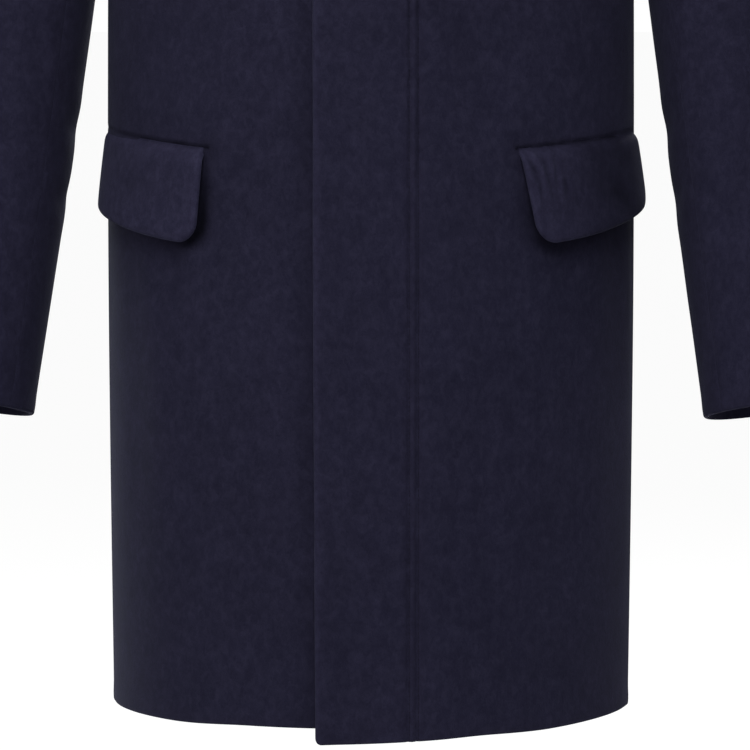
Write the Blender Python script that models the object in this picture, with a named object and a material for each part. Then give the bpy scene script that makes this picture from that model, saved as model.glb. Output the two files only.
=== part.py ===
"""Hooded wool coat of three-quarter length, with a covered front fastening and two flapped pockets.

The coat hangs empty and filled out, as if worn. Metres, +Z up. The front faces -Y, the wearer's left is +X.
The origin is at the middle of the neck, level with the neck ends of the shoulder seams, where the wearer's
shoulders carry the coat.
"""

import math
from bisect import bisect_left
from collections import namedtuple
from functools import lru_cache, partial

import bmesh
import bpy
import numpy as np

# Cloth
WALL = 0.003
FLAP_WALL = 0.0035
FLAP_TOP_WALL = 0.0015
SEAM = 0.0003
SHARP_ANGLE = math.radians(40)
DIFFERENCE_STEP = 0.001

# Body heights and widths, and the way each half faces along Y
FRONT = -1
BACK = 1
HEM_HEIGHT = -0.950
UNDERARM_HEIGHT = -0.275
LAP = 0.0332
LAP_CLEARANCE = 0.0007
LAP_EASE_START = 0.050
LAP_EASE_END = 0.100
LAP_NECK_EASE = 0.168
LEFT_FRONT_DROP = 0.0075
RIGHT_FRONT_RISE = 0.003
HEM_SHIFT_WIDTH = 0.205

# Neck
NECK_HALF_WIDTH = 0.083
NECK_MIDDLE_DEPTH = 0.004
NECK_FRONT_REACH = 0.096
NECK_BACK_REACH = 0.068
NECK_FRONT_DROP = 0.078
NECK_BACK_RISE = 0.014
FRONT_NECK_SHARE = 0.58
BACK_NECK_SHARE = 0.74
CHEST_CURVE = 1.6
SHOULDER_BLADE_CURVE = 2.2

# Armhole
SHOULDER_TIP = (0.222, 0.004, -0.048)
UNDERARM_HALF_WIDTH = 0.203
ARMHOLE_FRONT_REACH = 0.070
ARMHOLE_BACK_REACH = 0.074
ARMHOLE_HOLLOW = 0.0295
ARMHOLE_TURN_IN = (1.0, 0.5, 0.0)

# Sleeve
SLEEVE_START_INNER = 0.2059
SLEEVE_START_HEIGHT = -0.300
SLEEVE_SPREAD = 0.138
SLEEVE_PITCH_STEP = 0.010
CAP_LEAVE_TOP = (0.62, 0.0, -0.78)
CAP_LEAVE_FRONT = (0.80, -0.12, -0.58)
CAP_HANDLE_SHARE = 0.36
FRONT_SLEEVE_SEAM_ROW = 3
BACK_SLEEVE_SEAM_ROW = 3

# Hood
HOOD_SIDE_LEAN = 0.40
HOOD_NORMAL_INSET = 0.02

# Pocket flaps
FLAP_WIDTH = 0.147
FLAP_DEPTH = 0.0738
FLAP_CORNER = 0.017
FLAP_OUTER_RISE = 0.010
FLAP_INNER_TAPERS = {"left": 0.008, "right": 0.0}
FLAP_SLANTS = {"left": math.radians(4.4), "right": math.radians(4.8)}
FLAP_INNER_ACROSS = 0.119
FLAP_INNER_HEIGHT = -0.505
FLAP_GAP = 0.0006
FLAP_LIFT = 0.0085
FLAP_PRESSED = 0.020

# Rows and columns of each wall's grid, and the places read along a row to measure its cloth
BODY_COLUMNS = 11
LAP_COLUMNS = 3
SKIRT_ROWS = 11
FRONT_YOKE_ROWS = 7
FRONT_NECK_ROWS = 5
BACK_YOKE_ROWS = 8
BACK_NECK_ROWS = 4
SLEEVE_CAP_ROWS = 6
SLEEVE_ARM_ROWS = 9
HOOD_COLUMNS = 12
FLAP_COLUMNS = 9
FLAP_CORNER_COLUMNS = 4
FLAP_ROWS = 4
ROW_PLACES = 65

Section = namedtuple("Section", "height half_width front_depth back_depth roundness")
TORSO = (
    Section(-0.950, 0.2044, 0.157, 0.146, 0.63),
    Section(-0.780, 0.2061, 0.154, 0.143, 0.62),
    Section(-0.600, 0.2071, 0.148, 0.137, 0.61),
    Section(-0.450, 0.2066, 0.141, 0.129, 0.60),
    Section(-0.360, 0.2057, 0.138, 0.126, 0.60),
    Section(-0.275, 0.2030, 0.138, 0.128, 0.60),
)

ArmSection = namedtuple("ArmSection", "drop half_width half_depth forward")
SLEEVE = (
    ArmSection(0.000, 0.0555, 0.0730, 0.000),
    ArmSection(0.120, 0.0520, 0.0665, 0.003),
    ArmSection(0.240, 0.0490, 0.0600, 0.016),
    ArmSection(0.345, 0.0465, 0.0545, 0.034),
    ArmSection(0.412, 0.0450, 0.0515, 0.047),
)

CrownPoint = namedtuple("CrownPoint", "share depth height fullness")
HOOD_CROWN = (
    CrownPoint(0.00, -0.104, 0.252, 0.118),
    CrownPoint(0.20, -0.052, 0.300, 0.122),
    CrownPoint(0.40, 0.028, 0.310, 0.124),
    CrownPoint(0.60, 0.100, 0.268, 0.118),
    CrownPoint(0.80, 0.138, 0.196, 0.092),
    CrownPoint(1.00, 0.138, 0.116, 0.000),
)

Finish = namedtuple("Finish", "colour roughness metallic")
WOOL = Finish((0.0137, 0.0130, 0.0273, 1.0), 0.92, 0.0)


def unit(vector):
    """The vector at length one, or as it is where it has no length."""
    length = np.linalg.norm(vector)
    return vector / length if length > 0 else vector


def mix(low, high, share):
    """The value this share of the way from low to high."""
    return low + (high - low) * share


def ease(share):
    """A share from 0 to 1 with soft ends."""
    share = min(1.0, max(0.0, share))
    return share * share * (3.0 - 2.0 * share)


@lru_cache(maxsize=None)
def column_of(table, key, column):
    """A table's key column, another column, and that column's slope at each row."""
    keys = [getattr(row, key) for row in table]
    values = [getattr(row, column) for row in table]
    return keys, values, [float(slope) for slope in np.gradient(values, keys)]


def along(table, key, column, place):
    """A table's column read smoothly at a place along its key column."""
    keys, values, slopes = column_of(table, key, column)
    first = min(len(keys) - 2, max(0, bisect_left(keys, place) - 1))
    span = keys[first + 1] - keys[first]
    t = (place - keys[first]) / span
    start = (1 + 2 * t) * (1 - t) ** 2 * values[first] + t * (1 - t) ** 2 * span * slopes[first]
    end = t * t * (3 - 2 * t) * values[first + 1] + t * t * (t - 1) * span * slopes[first + 1]
    return start + end


def bezier(start, leave, arrive, end, t):
    """A point on a cubic curve, from its two ends and two handles."""
    return (1 - t) ** 3 * start + 3 * t * (1 - t) ** 2 * leave + 3 * t * t * (1 - t) * arrive + t**3 * end


# Shared seam lines of the body

def neckline(turn):
    """The neck seam on the wearer's left: turn 0 is the middle front, 0.5 the shoulder seam, 1 the nape."""
    angle = math.pi * turn
    facing = math.cos(angle)
    reach, rise = (NECK_FRONT_REACH, -NECK_FRONT_DROP) if facing > 0 else (NECK_BACK_REACH, NECK_BACK_RISE)
    return np.array((NECK_HALF_WIDTH * math.sin(angle), NECK_MIDDLE_DEPTH - reach * facing, rise * facing**2))


def armhole(angle):
    """The left armhole seam: angle 0 is the shoulder tip, a quarter turn the front, a half the underarm."""
    top_x, top_y, top_z = SHOULDER_TIP
    share = (1 - math.cos(angle)) / 2
    reach = ARMHOLE_FRONT_REACH if math.sin(angle) > 0 else ARMHOLE_BACK_REACH
    return np.array((
        mix(top_x, UNDERARM_HALF_WIDTH, share) - ARMHOLE_HOLLOW * math.sin(angle) ** 2,
        mix(top_y, 0.0, share) - reach * math.sin(angle),
        mix(top_z, UNDERARM_HEIGHT, share),
    ))


def shoulder_direction():
    """The shoulder seam's direction, from neck to tip."""
    return unit(np.array(SHOULDER_TIP) - neckline(0.5))


def armhole_direction(facing, climb):
    """The way a front or back runs into the side or armhole seam, by its climb from the underarm."""
    side = np.array((0.0, -facing, 0.0))
    turn_in = np.array(ARMHOLE_TURN_IN) * (1.0, -facing, 1.0)
    return unit((1 - climb) ** 2 * side + 2 * climb * (1 - climb) * turn_in + climb**2 * shoulder_direction())


# Body rows: each runs from the middle of the front or back round to the side

def skirt_row(facing, height, t):
    """A point on the body below the underarm, on its front or back half."""
    half_width = along(TORSO, "height", "half_width", height)
    depth = facing * along(TORSO, "height", "front_depth" if facing < 0 else "back_depth", height)
    roundness = along(TORSO, "height", "roundness", height)
    return bezier(
        np.array((0.0, depth, height)),
        np.array((roundness * half_width, depth, height)),
        np.array((half_width, depth * (1 - roundness), height)),
        np.array((half_width, 0.0, height)),
        t,
    )


def yoke_row(facing, climb, t):
    """A point on the body above the underarm: climb 0 is the underarm's level, 1 the shoulder seam."""
    front = facing < 0
    neck_share = FRONT_NECK_SHARE if front else BACK_NECK_SHARE
    edge = skirt_row(facing, UNDERARM_HEIGHT, 0.0)
    neck = neckline(0.0 if front else 1.0)
    if climb < neck_share:
        rise = climb / neck_share
        bow = rise ** (CHEST_CURVE if front else SHOULDER_BLADE_CURVE)
        start = np.array((0.0, mix(edge[1], neck[1], bow), mix(edge[2], neck[2], rise)))
    else:
        turn = 0.5 * (climb - neck_share) / (1 - neck_share)
        start = neckline(turn if front else 1.0 - turn)
    end = armhole(math.pi * (1 - climb) if front else math.pi * (1 + climb))
    chord = np.linalg.norm(end - start)
    lean = ease((climb - neck_share) / (1 - neck_share))
    leave = unit(mix(np.array((1.0, 0.0, 0.0)), shoulder_direction(), lean))
    arrive = armhole_direction(facing, climb)
    roundness = along(TORSO, "height", "roundness", UNDERARM_HEIGHT)
    leave_length = mix(roundness * UNDERARM_HALF_WIDTH, chord / 3, climb)
    arrive_length = mix((1 - roundness) * abs(edge[1]), chord / 3, climb)
    return bezier(start, start + leave * leave_length, end - arrive * arrive_length, end, t)


def lap_lift(across, climb):
    """How far the left front stands out over the right one, left of the middle and up from the hem."""
    sideways = (across - LAP_EASE_START) / (LAP_EASE_END - LAP_EASE_START)
    upward = (climb - 1 - FRONT_NECK_SHARE) / LAP_NECK_EASE
    return (WALL + LAP_CLEARANCE) * (1 - ease(sideways)) * (1 - ease(upward))


def body_surface(facing, hem_shift=0.0):
    """A function of (t, climb): climb runs from the hem at 0 by the underarm at 1 to the shoulder seam at 2.

    Below the neck a negative t carries the row on past the middle, where the two fronts lap.
    """
    neck = 1 + (FRONT_NECK_SHARE if facing < 0 else BACK_NECK_SHARE)

    def place(t, climb):
        past_middle = t < 0 and climb <= neck
        mirror = np.array((-1.0 if past_middle else 1.0, 1.0, 1.0))
        t = abs(t) if past_middle else t
        if climb >= 1:
            return yoke_row(facing, climb - 1, t) * mirror
        across = skirt_row(facing, HEM_HEIGHT, t)[0] * mirror[0]
        hem = HEM_HEIGHT + hem_shift * (1 - across / HEM_SHIFT_WIDTH)
        return skirt_row(facing, mix(hem, UNDERARM_HEIGHT, climb), t) * mirror

    return place


def lapped(surface):
    """The surface moved out where it lies over the other front."""

    def place(t, climb):
        point = surface(t, climb)
        return point + outward_normal(surface, t, climb) * lap_lift(point[0], climb)

    return place


def outward_normal(surface, s, r, sign=1):
    """The surface's unit normal, from short steps along its two directions."""
    across = surface(s + DIFFERENCE_STEP, r) - surface(s - DIFFERENCE_STEP, r)
    upward = surface(s, r + DIFFERENCE_STEP) - surface(s, r - DIFFERENCE_STEP)
    return sign * unit(np.cross(across, upward))


# Sleeve

def sleeve_ring(drop, angle):
    """A point round the arm, this far down it: angle 0 is its outer side, a quarter turn its front."""
    spread = math.atan(SLEEVE_SPREAD)
    half_width = along(SLEEVE, "drop", "half_width", drop)
    half_depth = along(SLEEVE, "drop", "half_depth", drop)
    above = along(SLEEVE, "drop", "forward", drop - SLEEVE_PITCH_STEP)
    below = along(SLEEVE, "drop", "forward", drop + SLEEVE_PITCH_STEP)
    pitch = math.atan2(below - above, 2 * SLEEVE_PITCH_STEP)
    centre = np.array((
        SLEEVE_START_INNER + SLEEVE_SPREAD * drop + half_width,
        -along(SLEEVE, "drop", "forward", drop),
        SLEEVE_START_HEIGHT - drop,
    ))
    outer = np.array((math.cos(spread), 0.0, math.sin(spread)))
    front = np.array((0.0, -math.cos(pitch), math.sin(pitch)))
    return centre + outer * half_width * math.cos(angle) + front * half_depth * math.sin(angle)


def cap_direction(angle, down):
    """The way the sleeve leaves the armhole at this angle: down along the arm at the underarm."""
    front = np.array(CAP_LEAVE_FRONT) * (1.0, math.sin(angle), 1.0)
    end = np.array(CAP_LEAVE_TOP) if math.cos(angle) > 0 else down
    return unit(mix(front, end, math.cos(angle) ** 2))


def sleeve_surface(angle, reach):
    """A point on the left sleeve: reach 0 is the armhole, 1 the full width of the arm, 2 the cuff."""
    if reach >= 1:
        return sleeve_ring((reach - 1) * SLEEVE[-1].drop, angle)
    start = armhole(angle) + np.array((SEAM, 0.0, 0.0))
    end = sleeve_ring(0.0, angle)
    down = unit(sleeve_ring(DIFFERENCE_STEP, angle) - end)
    length = CAP_HANDLE_SHARE * np.linalg.norm(end - start)
    return bezier(start, start + cap_direction(angle, down) * length, end - down * length, end, reach)


def sleeve_normal(angle, reach):
    """The sleeve's outward normal, turned at the armhole so that its wall stays clear of the body's."""
    normal = outward_normal(sleeve_surface, angle, reach)
    if reach > 0:
        return normal
    facing = FRONT if 0 <= angle <= math.pi else BACK
    climb = abs(1 - abs(angle) / math.pi)
    into_seam = armhole_direction(facing, climb)
    return normal - into_seam * max(0.0, float(np.dot(normal, into_seam)))


# Hood

def hood_surface(rise, share):
    """A point on the left of the hood: rise goes from neck to crown seam, share from face to back seam."""
    if share > 1:
        return hood_surface(rise, 2 - share) * (-1.0, 1.0, 1.0)
    start = neckline(share)
    crown_depth = along(HOOD_CROWN, "share", "depth", share)
    end = np.array((0.0, crown_depth, along(HOOD_CROWN, "share", "height", share)))
    fullness = along(HOOD_CROWN, "share", "fullness", share)
    leave = start + (end - start) * HOOD_SIDE_LEAN
    leave[0] = max(start[0], fullness)
    arrive = end + np.array((fullness, 0.0, 0.0))
    return bezier(start, leave, arrive, end, rise)


def hood_normal(rise, share):
    """The hood's outward normal, read just short of the point where its crown and back seams meet."""
    inside = 1 - HOOD_NORMAL_INSET
    return outward_normal(hood_surface, min(rise, inside), min(share, inside), sign=-1)


# Pocket flap, measured along the cloth from the front's middle

@lru_cache(maxsize=None)
def row_lengths(height):
    """Places along a row of the front: row parameter, distance left of the middle, length of cloth."""
    places = np.linspace(0.0, 1.0, ROW_PLACES)
    points = np.array([skirt_row(FRONT, height, t) for t in places])
    lengths = np.concatenate(([0.0], np.cumsum(np.linalg.norm(np.diff(points, axis=0), axis=1))))
    return places, points[:, 0], lengths


def flap_place(side, width_share, depth_share):
    """Where a point of a flap lies on the front: row parameter, climb, and depth below the flap's top edge."""
    slant = FLAP_SLANTS[side]
    width = width_share * FLAP_WIDTH
    corner = min(FLAP_CORNER, max(0.0, FLAP_CORNER - min(width, FLAP_WIDTH - width)))
    straight = FLAP_DEPTH - FLAP_OUTER_RISE * width_share**2 - FLAP_CORNER
    depth = depth_share * (straight + math.sqrt(FLAP_CORNER**2 - corner**2))
    width += FLAP_INNER_TAPERS[side] * (1 - width_share) * depth / FLAP_DEPTH
    height = FLAP_INNER_HEIGHT + width * math.sin(slant) - depth * math.cos(slant)
    _, across, lengths = row_lengths(FLAP_INNER_HEIGHT)
    start = np.interp(FLAP_INNER_ACROSS, across, lengths)
    distance = start + width * math.cos(slant) + depth * math.sin(slant)
    places, _, lengths = row_lengths(height)
    climb = (height - HEM_HEIGHT) / (UNDERARM_HEIGHT - HEM_HEIGHT)
    return np.interp(distance, lengths, places), climb, depth


def flap_wall(depth):
    """The flap's thickness this far below its top edge, where it is pressed into the pocket's seam."""
    return mix(FLAP_TOP_WALL, FLAP_WALL, ease(depth / FLAP_PRESSED))


def flap_normal(side, width_share, depth_share):
    """The direction in which a flap stands off the front, at the length of its thickness."""
    t, climb, depth = flap_place(side, width_share, depth_share)
    return outward_normal(body_surface(FRONT), t, climb) * flap_wall(depth)


def flap_surface(side, width_share, depth_share):
    """A point on the outer face of a flap, drawn on the wearer's left."""
    t, climb, depth = flap_place(side, width_share, depth_share)
    panel = body_surface(FRONT)
    lift = FLAP_GAP + FLAP_TOP_WALL + FLAP_LIFT * depth / FLAP_DEPTH
    return panel(t, climb) + outward_normal(panel, t, climb) * lift


# Walls

def grid_of(surface, columns, rows, normal=None, wall=WALL, keep=None):
    """The outer and inner points of a wall this many normals thick, its cut edges half a seam's gap back."""
    normal = normal or partial(outward_normal, surface)
    outer, inner = [], []
    for r in rows:
        outer_row, inner_row = [], []
        for s in columns:
            if keep and not keep(s, r):
                outer_row.append(None)
                inner_row.append(None)
                continue
            point = surface(s, r)
            back = {columns[0]: 1, columns[-1]: -1}.get(s, 0) * SEAM / 2
            down = {rows[0]: 1, rows[-1]: -1}.get(r, 0) * SEAM / 2
            point = point + back * unit(surface(s + DIFFERENCE_STEP, r) - surface(s - DIFFERENCE_STEP, r))
            point = point + down * unit(surface(s, r + DIFFERENCE_STEP) - surface(s, r - DIFFERENCE_STEP))
            outer_row.append(point)
            inner_row.append(point - normal(s, r) * wall)
        outer.append(outer_row)
        inner.append(inner_row)
    return outer, inner


def clear_of_middle(grids):
    """The same points, with none nearer the coat's middle than half a seam's gap."""
    nearest = np.array((SEAM / 2, -np.inf, -np.inf))
    return [[[np.maximum(point, nearest) for point in row] for row in grid] for grid in grids]


def wall_object(name, grids, mirror, collection):
    """A closed cloth wall lofted between its outer and inner points, and a rim round its cut edges."""
    shape = bmesh.new()
    layers = [
        [[None if p is None else shape.verts.new((mirror * p[0], p[1], p[2])) for p in row] for row in grid]
        for grid in grids
    ]
    partner = {
        face: back
        for face_row, back_row in zip(*layers)
        for face, back in zip(face_row, back_row)
        if face is not None
    }
    face, _ = layers
    for low, high in zip(face, face[1:]):
        for j in range(len(low) - 1):
            corners = (low[j], low[j + 1], high[j + 1], high[j])
            if None not in corners:
                shape.faces.new(corners)
                shape.faces.new([partner[corner] for corner in reversed(corners)])
    for edge in [e for e in shape.edges if e.is_boundary and e.verts[0] in partner]:
        first = edge.link_loops[0].vert
        second = edge.other_vert(first)
        shape.faces.new((second, first, partner[first], partner[second]))
    for loose in [v for v in shape.verts if not v.link_faces]:
        shape.verts.remove(loose)
    bmesh.ops.recalc_face_normals(shape, faces=shape.faces)
    mesh = bpy.data.meshes.new(name)
    shape.to_mesh(mesh)
    shape.free()
    mesh.shade_smooth()
    mesh.set_sharp_from_angle(angle=SHARP_ANGLE)
    mesh.materials.append(wool_material(f"{name}_wool"))
    built = bpy.data.objects.new(name, mesh)
    collection.objects.link(built)
    return built


def wool_material(name):
    """A piece's own plain dark wool."""
    material = bpy.data.materials.new(name)
    material.use_nodes = True
    shader = material.node_tree.nodes["Principled BSDF"]
    shader.inputs["Base Color"].default_value = WOOL.colour
    shader.inputs["Roughness"].default_value = WOOL.roughness
    shader.inputs["Metallic"].default_value = WOOL.metallic
    return material


def shares(count, low=0.0, high=1.0):
    """Evenly spaced values from low to high."""
    return [float(v) for v in np.linspace(low, high, count + 1)]


def yoke_rows(neck_share, rows, neck_rows):
    """The climb of a front's or back's rows from underarm to shoulder seam, one at the neck's start."""
    neck = 1.0 + neck_share
    return shares(rows, 1.0, neck) + shares(neck_rows, neck, 2.0)[1:]


def lap_columns():
    """The row parameters of a front, from the lapped edge to the side, alike on both sides of the middle."""
    places, across, _ = row_lengths(HEM_HEIGHT)
    edge = float(np.interp(LAP, across, places))
    return shares(2 * LAP_COLUMNS, -edge, edge) + shares(BODY_COLUMNS - LAP_COLUMNS, edge, 1.0)[1:]


def armhole_angles(front_rows, back_rows):
    """The sleeve's columns, one on each row of the body: those in front from the top, then those behind."""
    before = [math.pi * (2 - climb) for climb in reversed(front_rows)]
    behind = [math.pi * climb for climb in back_rows]
    return before, behind


def below_neck(s, r):
    """Whether a front's lap has cloth here: it ends level with the neck's middle."""
    return s >= 0 or r <= 1.0 + FRONT_NECK_SHARE


def flap_columns():
    """The flap's columns, close together where its corners are round."""
    corner = FLAP_CORNER / FLAP_WIDTH
    turns = [1 - math.cos(a) for a in np.linspace(0.0, math.pi / 2, FLAP_CORNER_COLUMNS + 1)]
    inner = [corner * turn for turn in turns]
    middle = shares(FLAP_COLUMNS, corner, 1 - corner)[1:-1]
    return inner + middle + [1 - v for v in reversed(inner)]


def build_coat():
    """Every piece of the coat, each as a named wall of cloth.

    The fronts, backs and top sleeves are each in two walls, which meet at or just below the underarm's level.
    """
    for old in list(bpy.data.objects):
        bpy.data.objects.remove(old)
    coat = bpy.data.collections.new("hooded_coat")
    bpy.context.scene.collection.children.link(coat)

    fronts = {
        "left": lapped(body_surface(FRONT, -LEFT_FRONT_DROP)),
        "right": body_surface(FRONT, RIGHT_FRONT_RISE),
    }
    back = body_surface(BACK)
    back_normal = partial(outward_normal, back, sign=-1)
    *lower_rows, parting_row, _ = shares(SKIRT_ROWS)
    lower_rows.append(parting_row)
    front_rows = yoke_rows(FRONT_NECK_SHARE, FRONT_YOKE_ROWS, FRONT_NECK_ROWS)
    back_rows = yoke_rows(BACK_NECK_SHARE, BACK_YOKE_ROWS, BACK_NECK_ROWS)
    front_columns, back_columns = lap_columns(), shares(BODY_COLUMNS)

    cap_rows, arm_rows = shares(SLEEVE_CAP_ROWS), shares(SLEEVE_ARM_ROWS, 1.0, 2.0)
    sleeve_rows = cap_rows + arm_rows[1:]
    before, behind = armhole_angles(front_rows, back_rows)
    top_sleeve = [angle - 2 * math.pi for angle in behind[BACK_SLEEVE_SEAM_ROW:-1]]
    top_sleeve += before[:-FRONT_SLEEVE_SEAM_ROW]
    under_sleeve = before[-FRONT_SLEEVE_SEAM_ROW - 1:-1] + behind[:BACK_SLEEVE_SEAM_ROW + 1]

    hood_shares = shares(FRONT_NECK_ROWS, 0.0, 0.5) + shares(BACK_NECK_ROWS, 0.5, 1.0)[1:]
    hood = clear_of_middle(grid_of(hood_surface, shares(HOOD_COLUMNS), hood_shares, hood_normal))

    for side, mirror in (("left", 1), ("right", -1)):
        front = fronts[side]
        flap, flap_out = partial(flap_surface, side), partial(flap_normal, side)
        walls = {
            f"front_{side}_lower": grid_of(front, front_columns, lower_rows),
            f"front_{side}_upper": grid_of(front, front_columns, [parting_row] + front_rows, keep=below_neck),
            f"back_{side}_lower": grid_of(back, back_columns, lower_rows, back_normal),
            f"back_{side}_upper": grid_of(back, back_columns, [parting_row] + back_rows, back_normal),
            f"sleeve_{side}_cap": grid_of(sleeve_surface, top_sleeve, cap_rows, sleeve_normal),
            f"sleeve_{side}_top": grid_of(sleeve_surface, top_sleeve, arm_rows, sleeve_normal),
            f"sleeve_{side}_under": grid_of(sleeve_surface, under_sleeve, sleeve_rows, sleeve_normal),
            f"hood_{side}": hood,
            f"flap_{side}": grid_of(flap, flap_columns(), shares(FLAP_ROWS), flap_out, wall=1),
        }
        for name, grids in walls.items():
            wall_object(name, grids, mirror, coat)


build_coat()
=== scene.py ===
"""Looks of a dark navy hooded wool coat with a covered front fastening and two flapped pockets.

Each cut piece of cloth is a thin shell on the form of its solids, with turned edges, sewn seams, soft
creases and brushed wool. Metres, +Z up. The front faces -Y and the wearer's left is +X. Every piece is
shaped on the wearer's left and mirrored where it belongs on the right.
"""

import logging
import math
from dataclasses import dataclass, field
from enum import Enum
from typing import Callable, Sequence, Union

import bpy
import numpy as np
from mathutils import Euler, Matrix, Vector


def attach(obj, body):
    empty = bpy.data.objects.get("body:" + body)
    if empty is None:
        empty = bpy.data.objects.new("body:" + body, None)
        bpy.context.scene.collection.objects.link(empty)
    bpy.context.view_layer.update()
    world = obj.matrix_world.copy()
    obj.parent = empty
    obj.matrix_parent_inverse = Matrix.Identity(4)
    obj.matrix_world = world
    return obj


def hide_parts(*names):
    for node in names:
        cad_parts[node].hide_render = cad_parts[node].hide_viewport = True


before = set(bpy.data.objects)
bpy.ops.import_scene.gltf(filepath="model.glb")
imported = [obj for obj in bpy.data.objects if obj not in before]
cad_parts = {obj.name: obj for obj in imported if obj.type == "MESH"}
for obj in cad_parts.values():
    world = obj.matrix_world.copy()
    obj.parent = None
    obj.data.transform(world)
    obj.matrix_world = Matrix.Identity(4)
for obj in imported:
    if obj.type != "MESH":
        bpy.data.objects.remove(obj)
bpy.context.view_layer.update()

log = logging.getLogger("hooded_coat")

Array = np.ndarray
Surface = Callable[[Array, Array], Array]
Pair = tuple[float, float]
Point = tuple[float, float, float]
Colour = tuple[float, float, float]

BODY = "root"
WHITE = (1.0, 1.0, 1.0)
MILLIMETRE = 0.001
CLOSEST_LINES = 0.05 * MILLIMETRE
MEASURED_PLACES = 801
LAP_PLACES = 401
TINY = 1e-9


class Side(Enum):
    """A side of the wearer, with the sign of its X."""

    LEFT = 1
    RIGHT = -1


class Half(Enum):
    """The front or the back of the body, with the sign of its Y."""

    FRONT = -1
    BACK = 1


class Edge(Enum):
    """How an edge of the cloth is finished, with its close lines' places in millimetres from the edge."""

    FOLDED = (0.0, 0.12, 0.35, 0.7, 1.1, 1.6, 2.4, 3.6, 5.4, 8.0)
    SEWN = (0.0, 0.5, 1.1, 1.9, 3.0, 4.4, 6.4)
    STITCHED = (-3.4, -2.3, -1.5, -0.9, -0.4, 0.0, 0.4, 0.9, 1.5, 2.3, 3.4)
    PLAIN = (0.0,)


def points(x: Array, y: Array, z: Array) -> Array:
    """Points from their coordinates, which may be arrays or plain numbers."""
    return np.stack(np.broadcast_arrays(x, y, z), axis=-1).astype(float)


def unit(vectors: Array) -> Array:
    """The vectors at length one, or as they are where they have no length."""
    lengths = np.linalg.norm(vectors, axis=-1, keepdims=True)
    return vectors / np.where(lengths > 0, lengths, 1.0)


def ease(share: Array) -> Array:
    """A share held between 0 and 1, with soft ends."""
    share = np.clip(share, 0.0, 1.0)
    return share * share * (3.0 - 2.0 * share)


def mix(low: Array, high: Array, share: Array) -> Array:
    """The value this share of the way from low to high."""
    return low + (high - low) * share


def bell(distance: Array, width: float) -> Array:
    """A soft bump of height one: 1 at no distance, about a third at this width."""
    return np.exp(-((distance / width) ** 2))


def rolled(distance: Array, radius: float) -> Array:
    """How far a face falls away this near to an edge that is rounded to this radius."""
    share = 1 - np.clip(distance / radius, 0.0, 1.0)
    return radius * (1 - np.sqrt(1 - share**2))


def bezier(start: Array, leave: Array, arrive: Array, end: Array, t: Array) -> Array:
    """Points on a cubic curve.

    Args:
        start: The curve's first end.
        leave: The handle that the curve leaves its first end by.
        arrive: The handle that it comes to its last end by.
        end: The curve's last end.
        t: The share of the way along, with a last axis of one.

    Returns:
        The points at those shares.
    """
    return (1 - t) ** 3 * start + 3 * t * (1 - t) ** 2 * leave + 3 * t * t * (1 - t) * arrive + t**3 * end


def run_lengths(grid: Array, axis: int) -> Array:
    """How far along the cloth each point of a grid is from the first one on its line, along an axis."""
    steps = np.linalg.norm(np.diff(grid, axis=axis), axis=-1)
    return np.insert(np.cumsum(steps, axis=axis), 0, 0.0, axis=axis)


def square_to(surface: Surface, s: Array, r: Array, step: float) -> Array:
    """The directions square to a surface, from short steps along both of its parameters."""
    across = surface(s + step, r) - surface(s - step, r)
    return unit(np.cross(across, surface(s, r + step) - surface(s, r - step)))


def read_line(lengths: Array, values: Array, place: float) -> Array:
    """The values of a line's points, read between them at a place along it."""
    return np.array([np.interp(place, lengths, column) for column in values.T])


def nearest_on(places: Array, line: Array) -> tuple[Array, Array]:
    """Where a line of close points passes nearest to each place.

    Args:
        places: The places.
        line: The line's points.

    Returns:
        The distance to the line, and the share of the way along it of its nearest point.
    """
    nearest = np.full(places.shape[:-1], np.inf)
    share = np.zeros_like(nearest)
    for k, point in enumerate(line):
        distance = np.linalg.norm(places - point, axis=-1)
        share = np.where(distance < nearest, k / (len(line) - 1), share)
        nearest = np.minimum(nearest, distance)
    return nearest, share


def beside(places: Sequence[float]) -> list[float]:
    """Places for close grid lines on and beside rows of stitching."""
    return [place + o * MILLIMETRE for place in places for o in Edge.STITCHED.value]


def lines_along(samples: Array, line: Array, step: float, edges: tuple[Edge, Edge],
                close: Sequence[float] = ()) -> Array:
    """Parameters of a grid's lines across a measured line, close at edges and where they are asked for.

    Args:
        samples: Parameters along the line to measure.
        line: Its points at those parameters.
        step: The widest gap between grid lines, along the cloth.
        edges: How the cloth is finished at the start and the end.
        close: More places that get a line, as distances along the cloth from the start.

    Returns:
        The parameters, from the first to the last sample.
    """
    lengths = run_lengths(line, 0)
    total = lengths[-1]
    marks = [o * MILLIMETRE for o in edges[0].value] + [total - o * MILLIMETRE for o in edges[1].value]
    marks = sorted(mark for mark in (*marks, *close) if 0.0 <= mark <= total)
    places = [marks[0]]
    for mark in marks[1:]:
        gaps = max(1, math.ceil((mark - places[-1]) / step))
        if mark - places[-1] > CLOSEST_LINES:
            places += list(np.linspace(places[-1], mark, gaps + 1)[1:])
    parameters = np.interp(places, lengths, samples)
    parameters[-1] = samples[-1]
    return parameters


def in_scene(name: str, data: bpy.types.ID) -> bpy.types.Object:
    """A new object with these data, linked to the scene.

    Args:
        name: The object's name.
        data: Its mesh, lamp or camera.

    Returns:
        The object.
    """
    thing = bpy.data.objects.new(name, data)
    bpy.context.scene.collection.objects.link(thing)
    return thing


def aimed(place: Point, aim: Point) -> Euler:
    """The turn of a lamp or camera at one place that looks at another."""
    return (Vector(aim) - Vector(place)).to_track_quat("-Z", "Y").to_euler()


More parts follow.
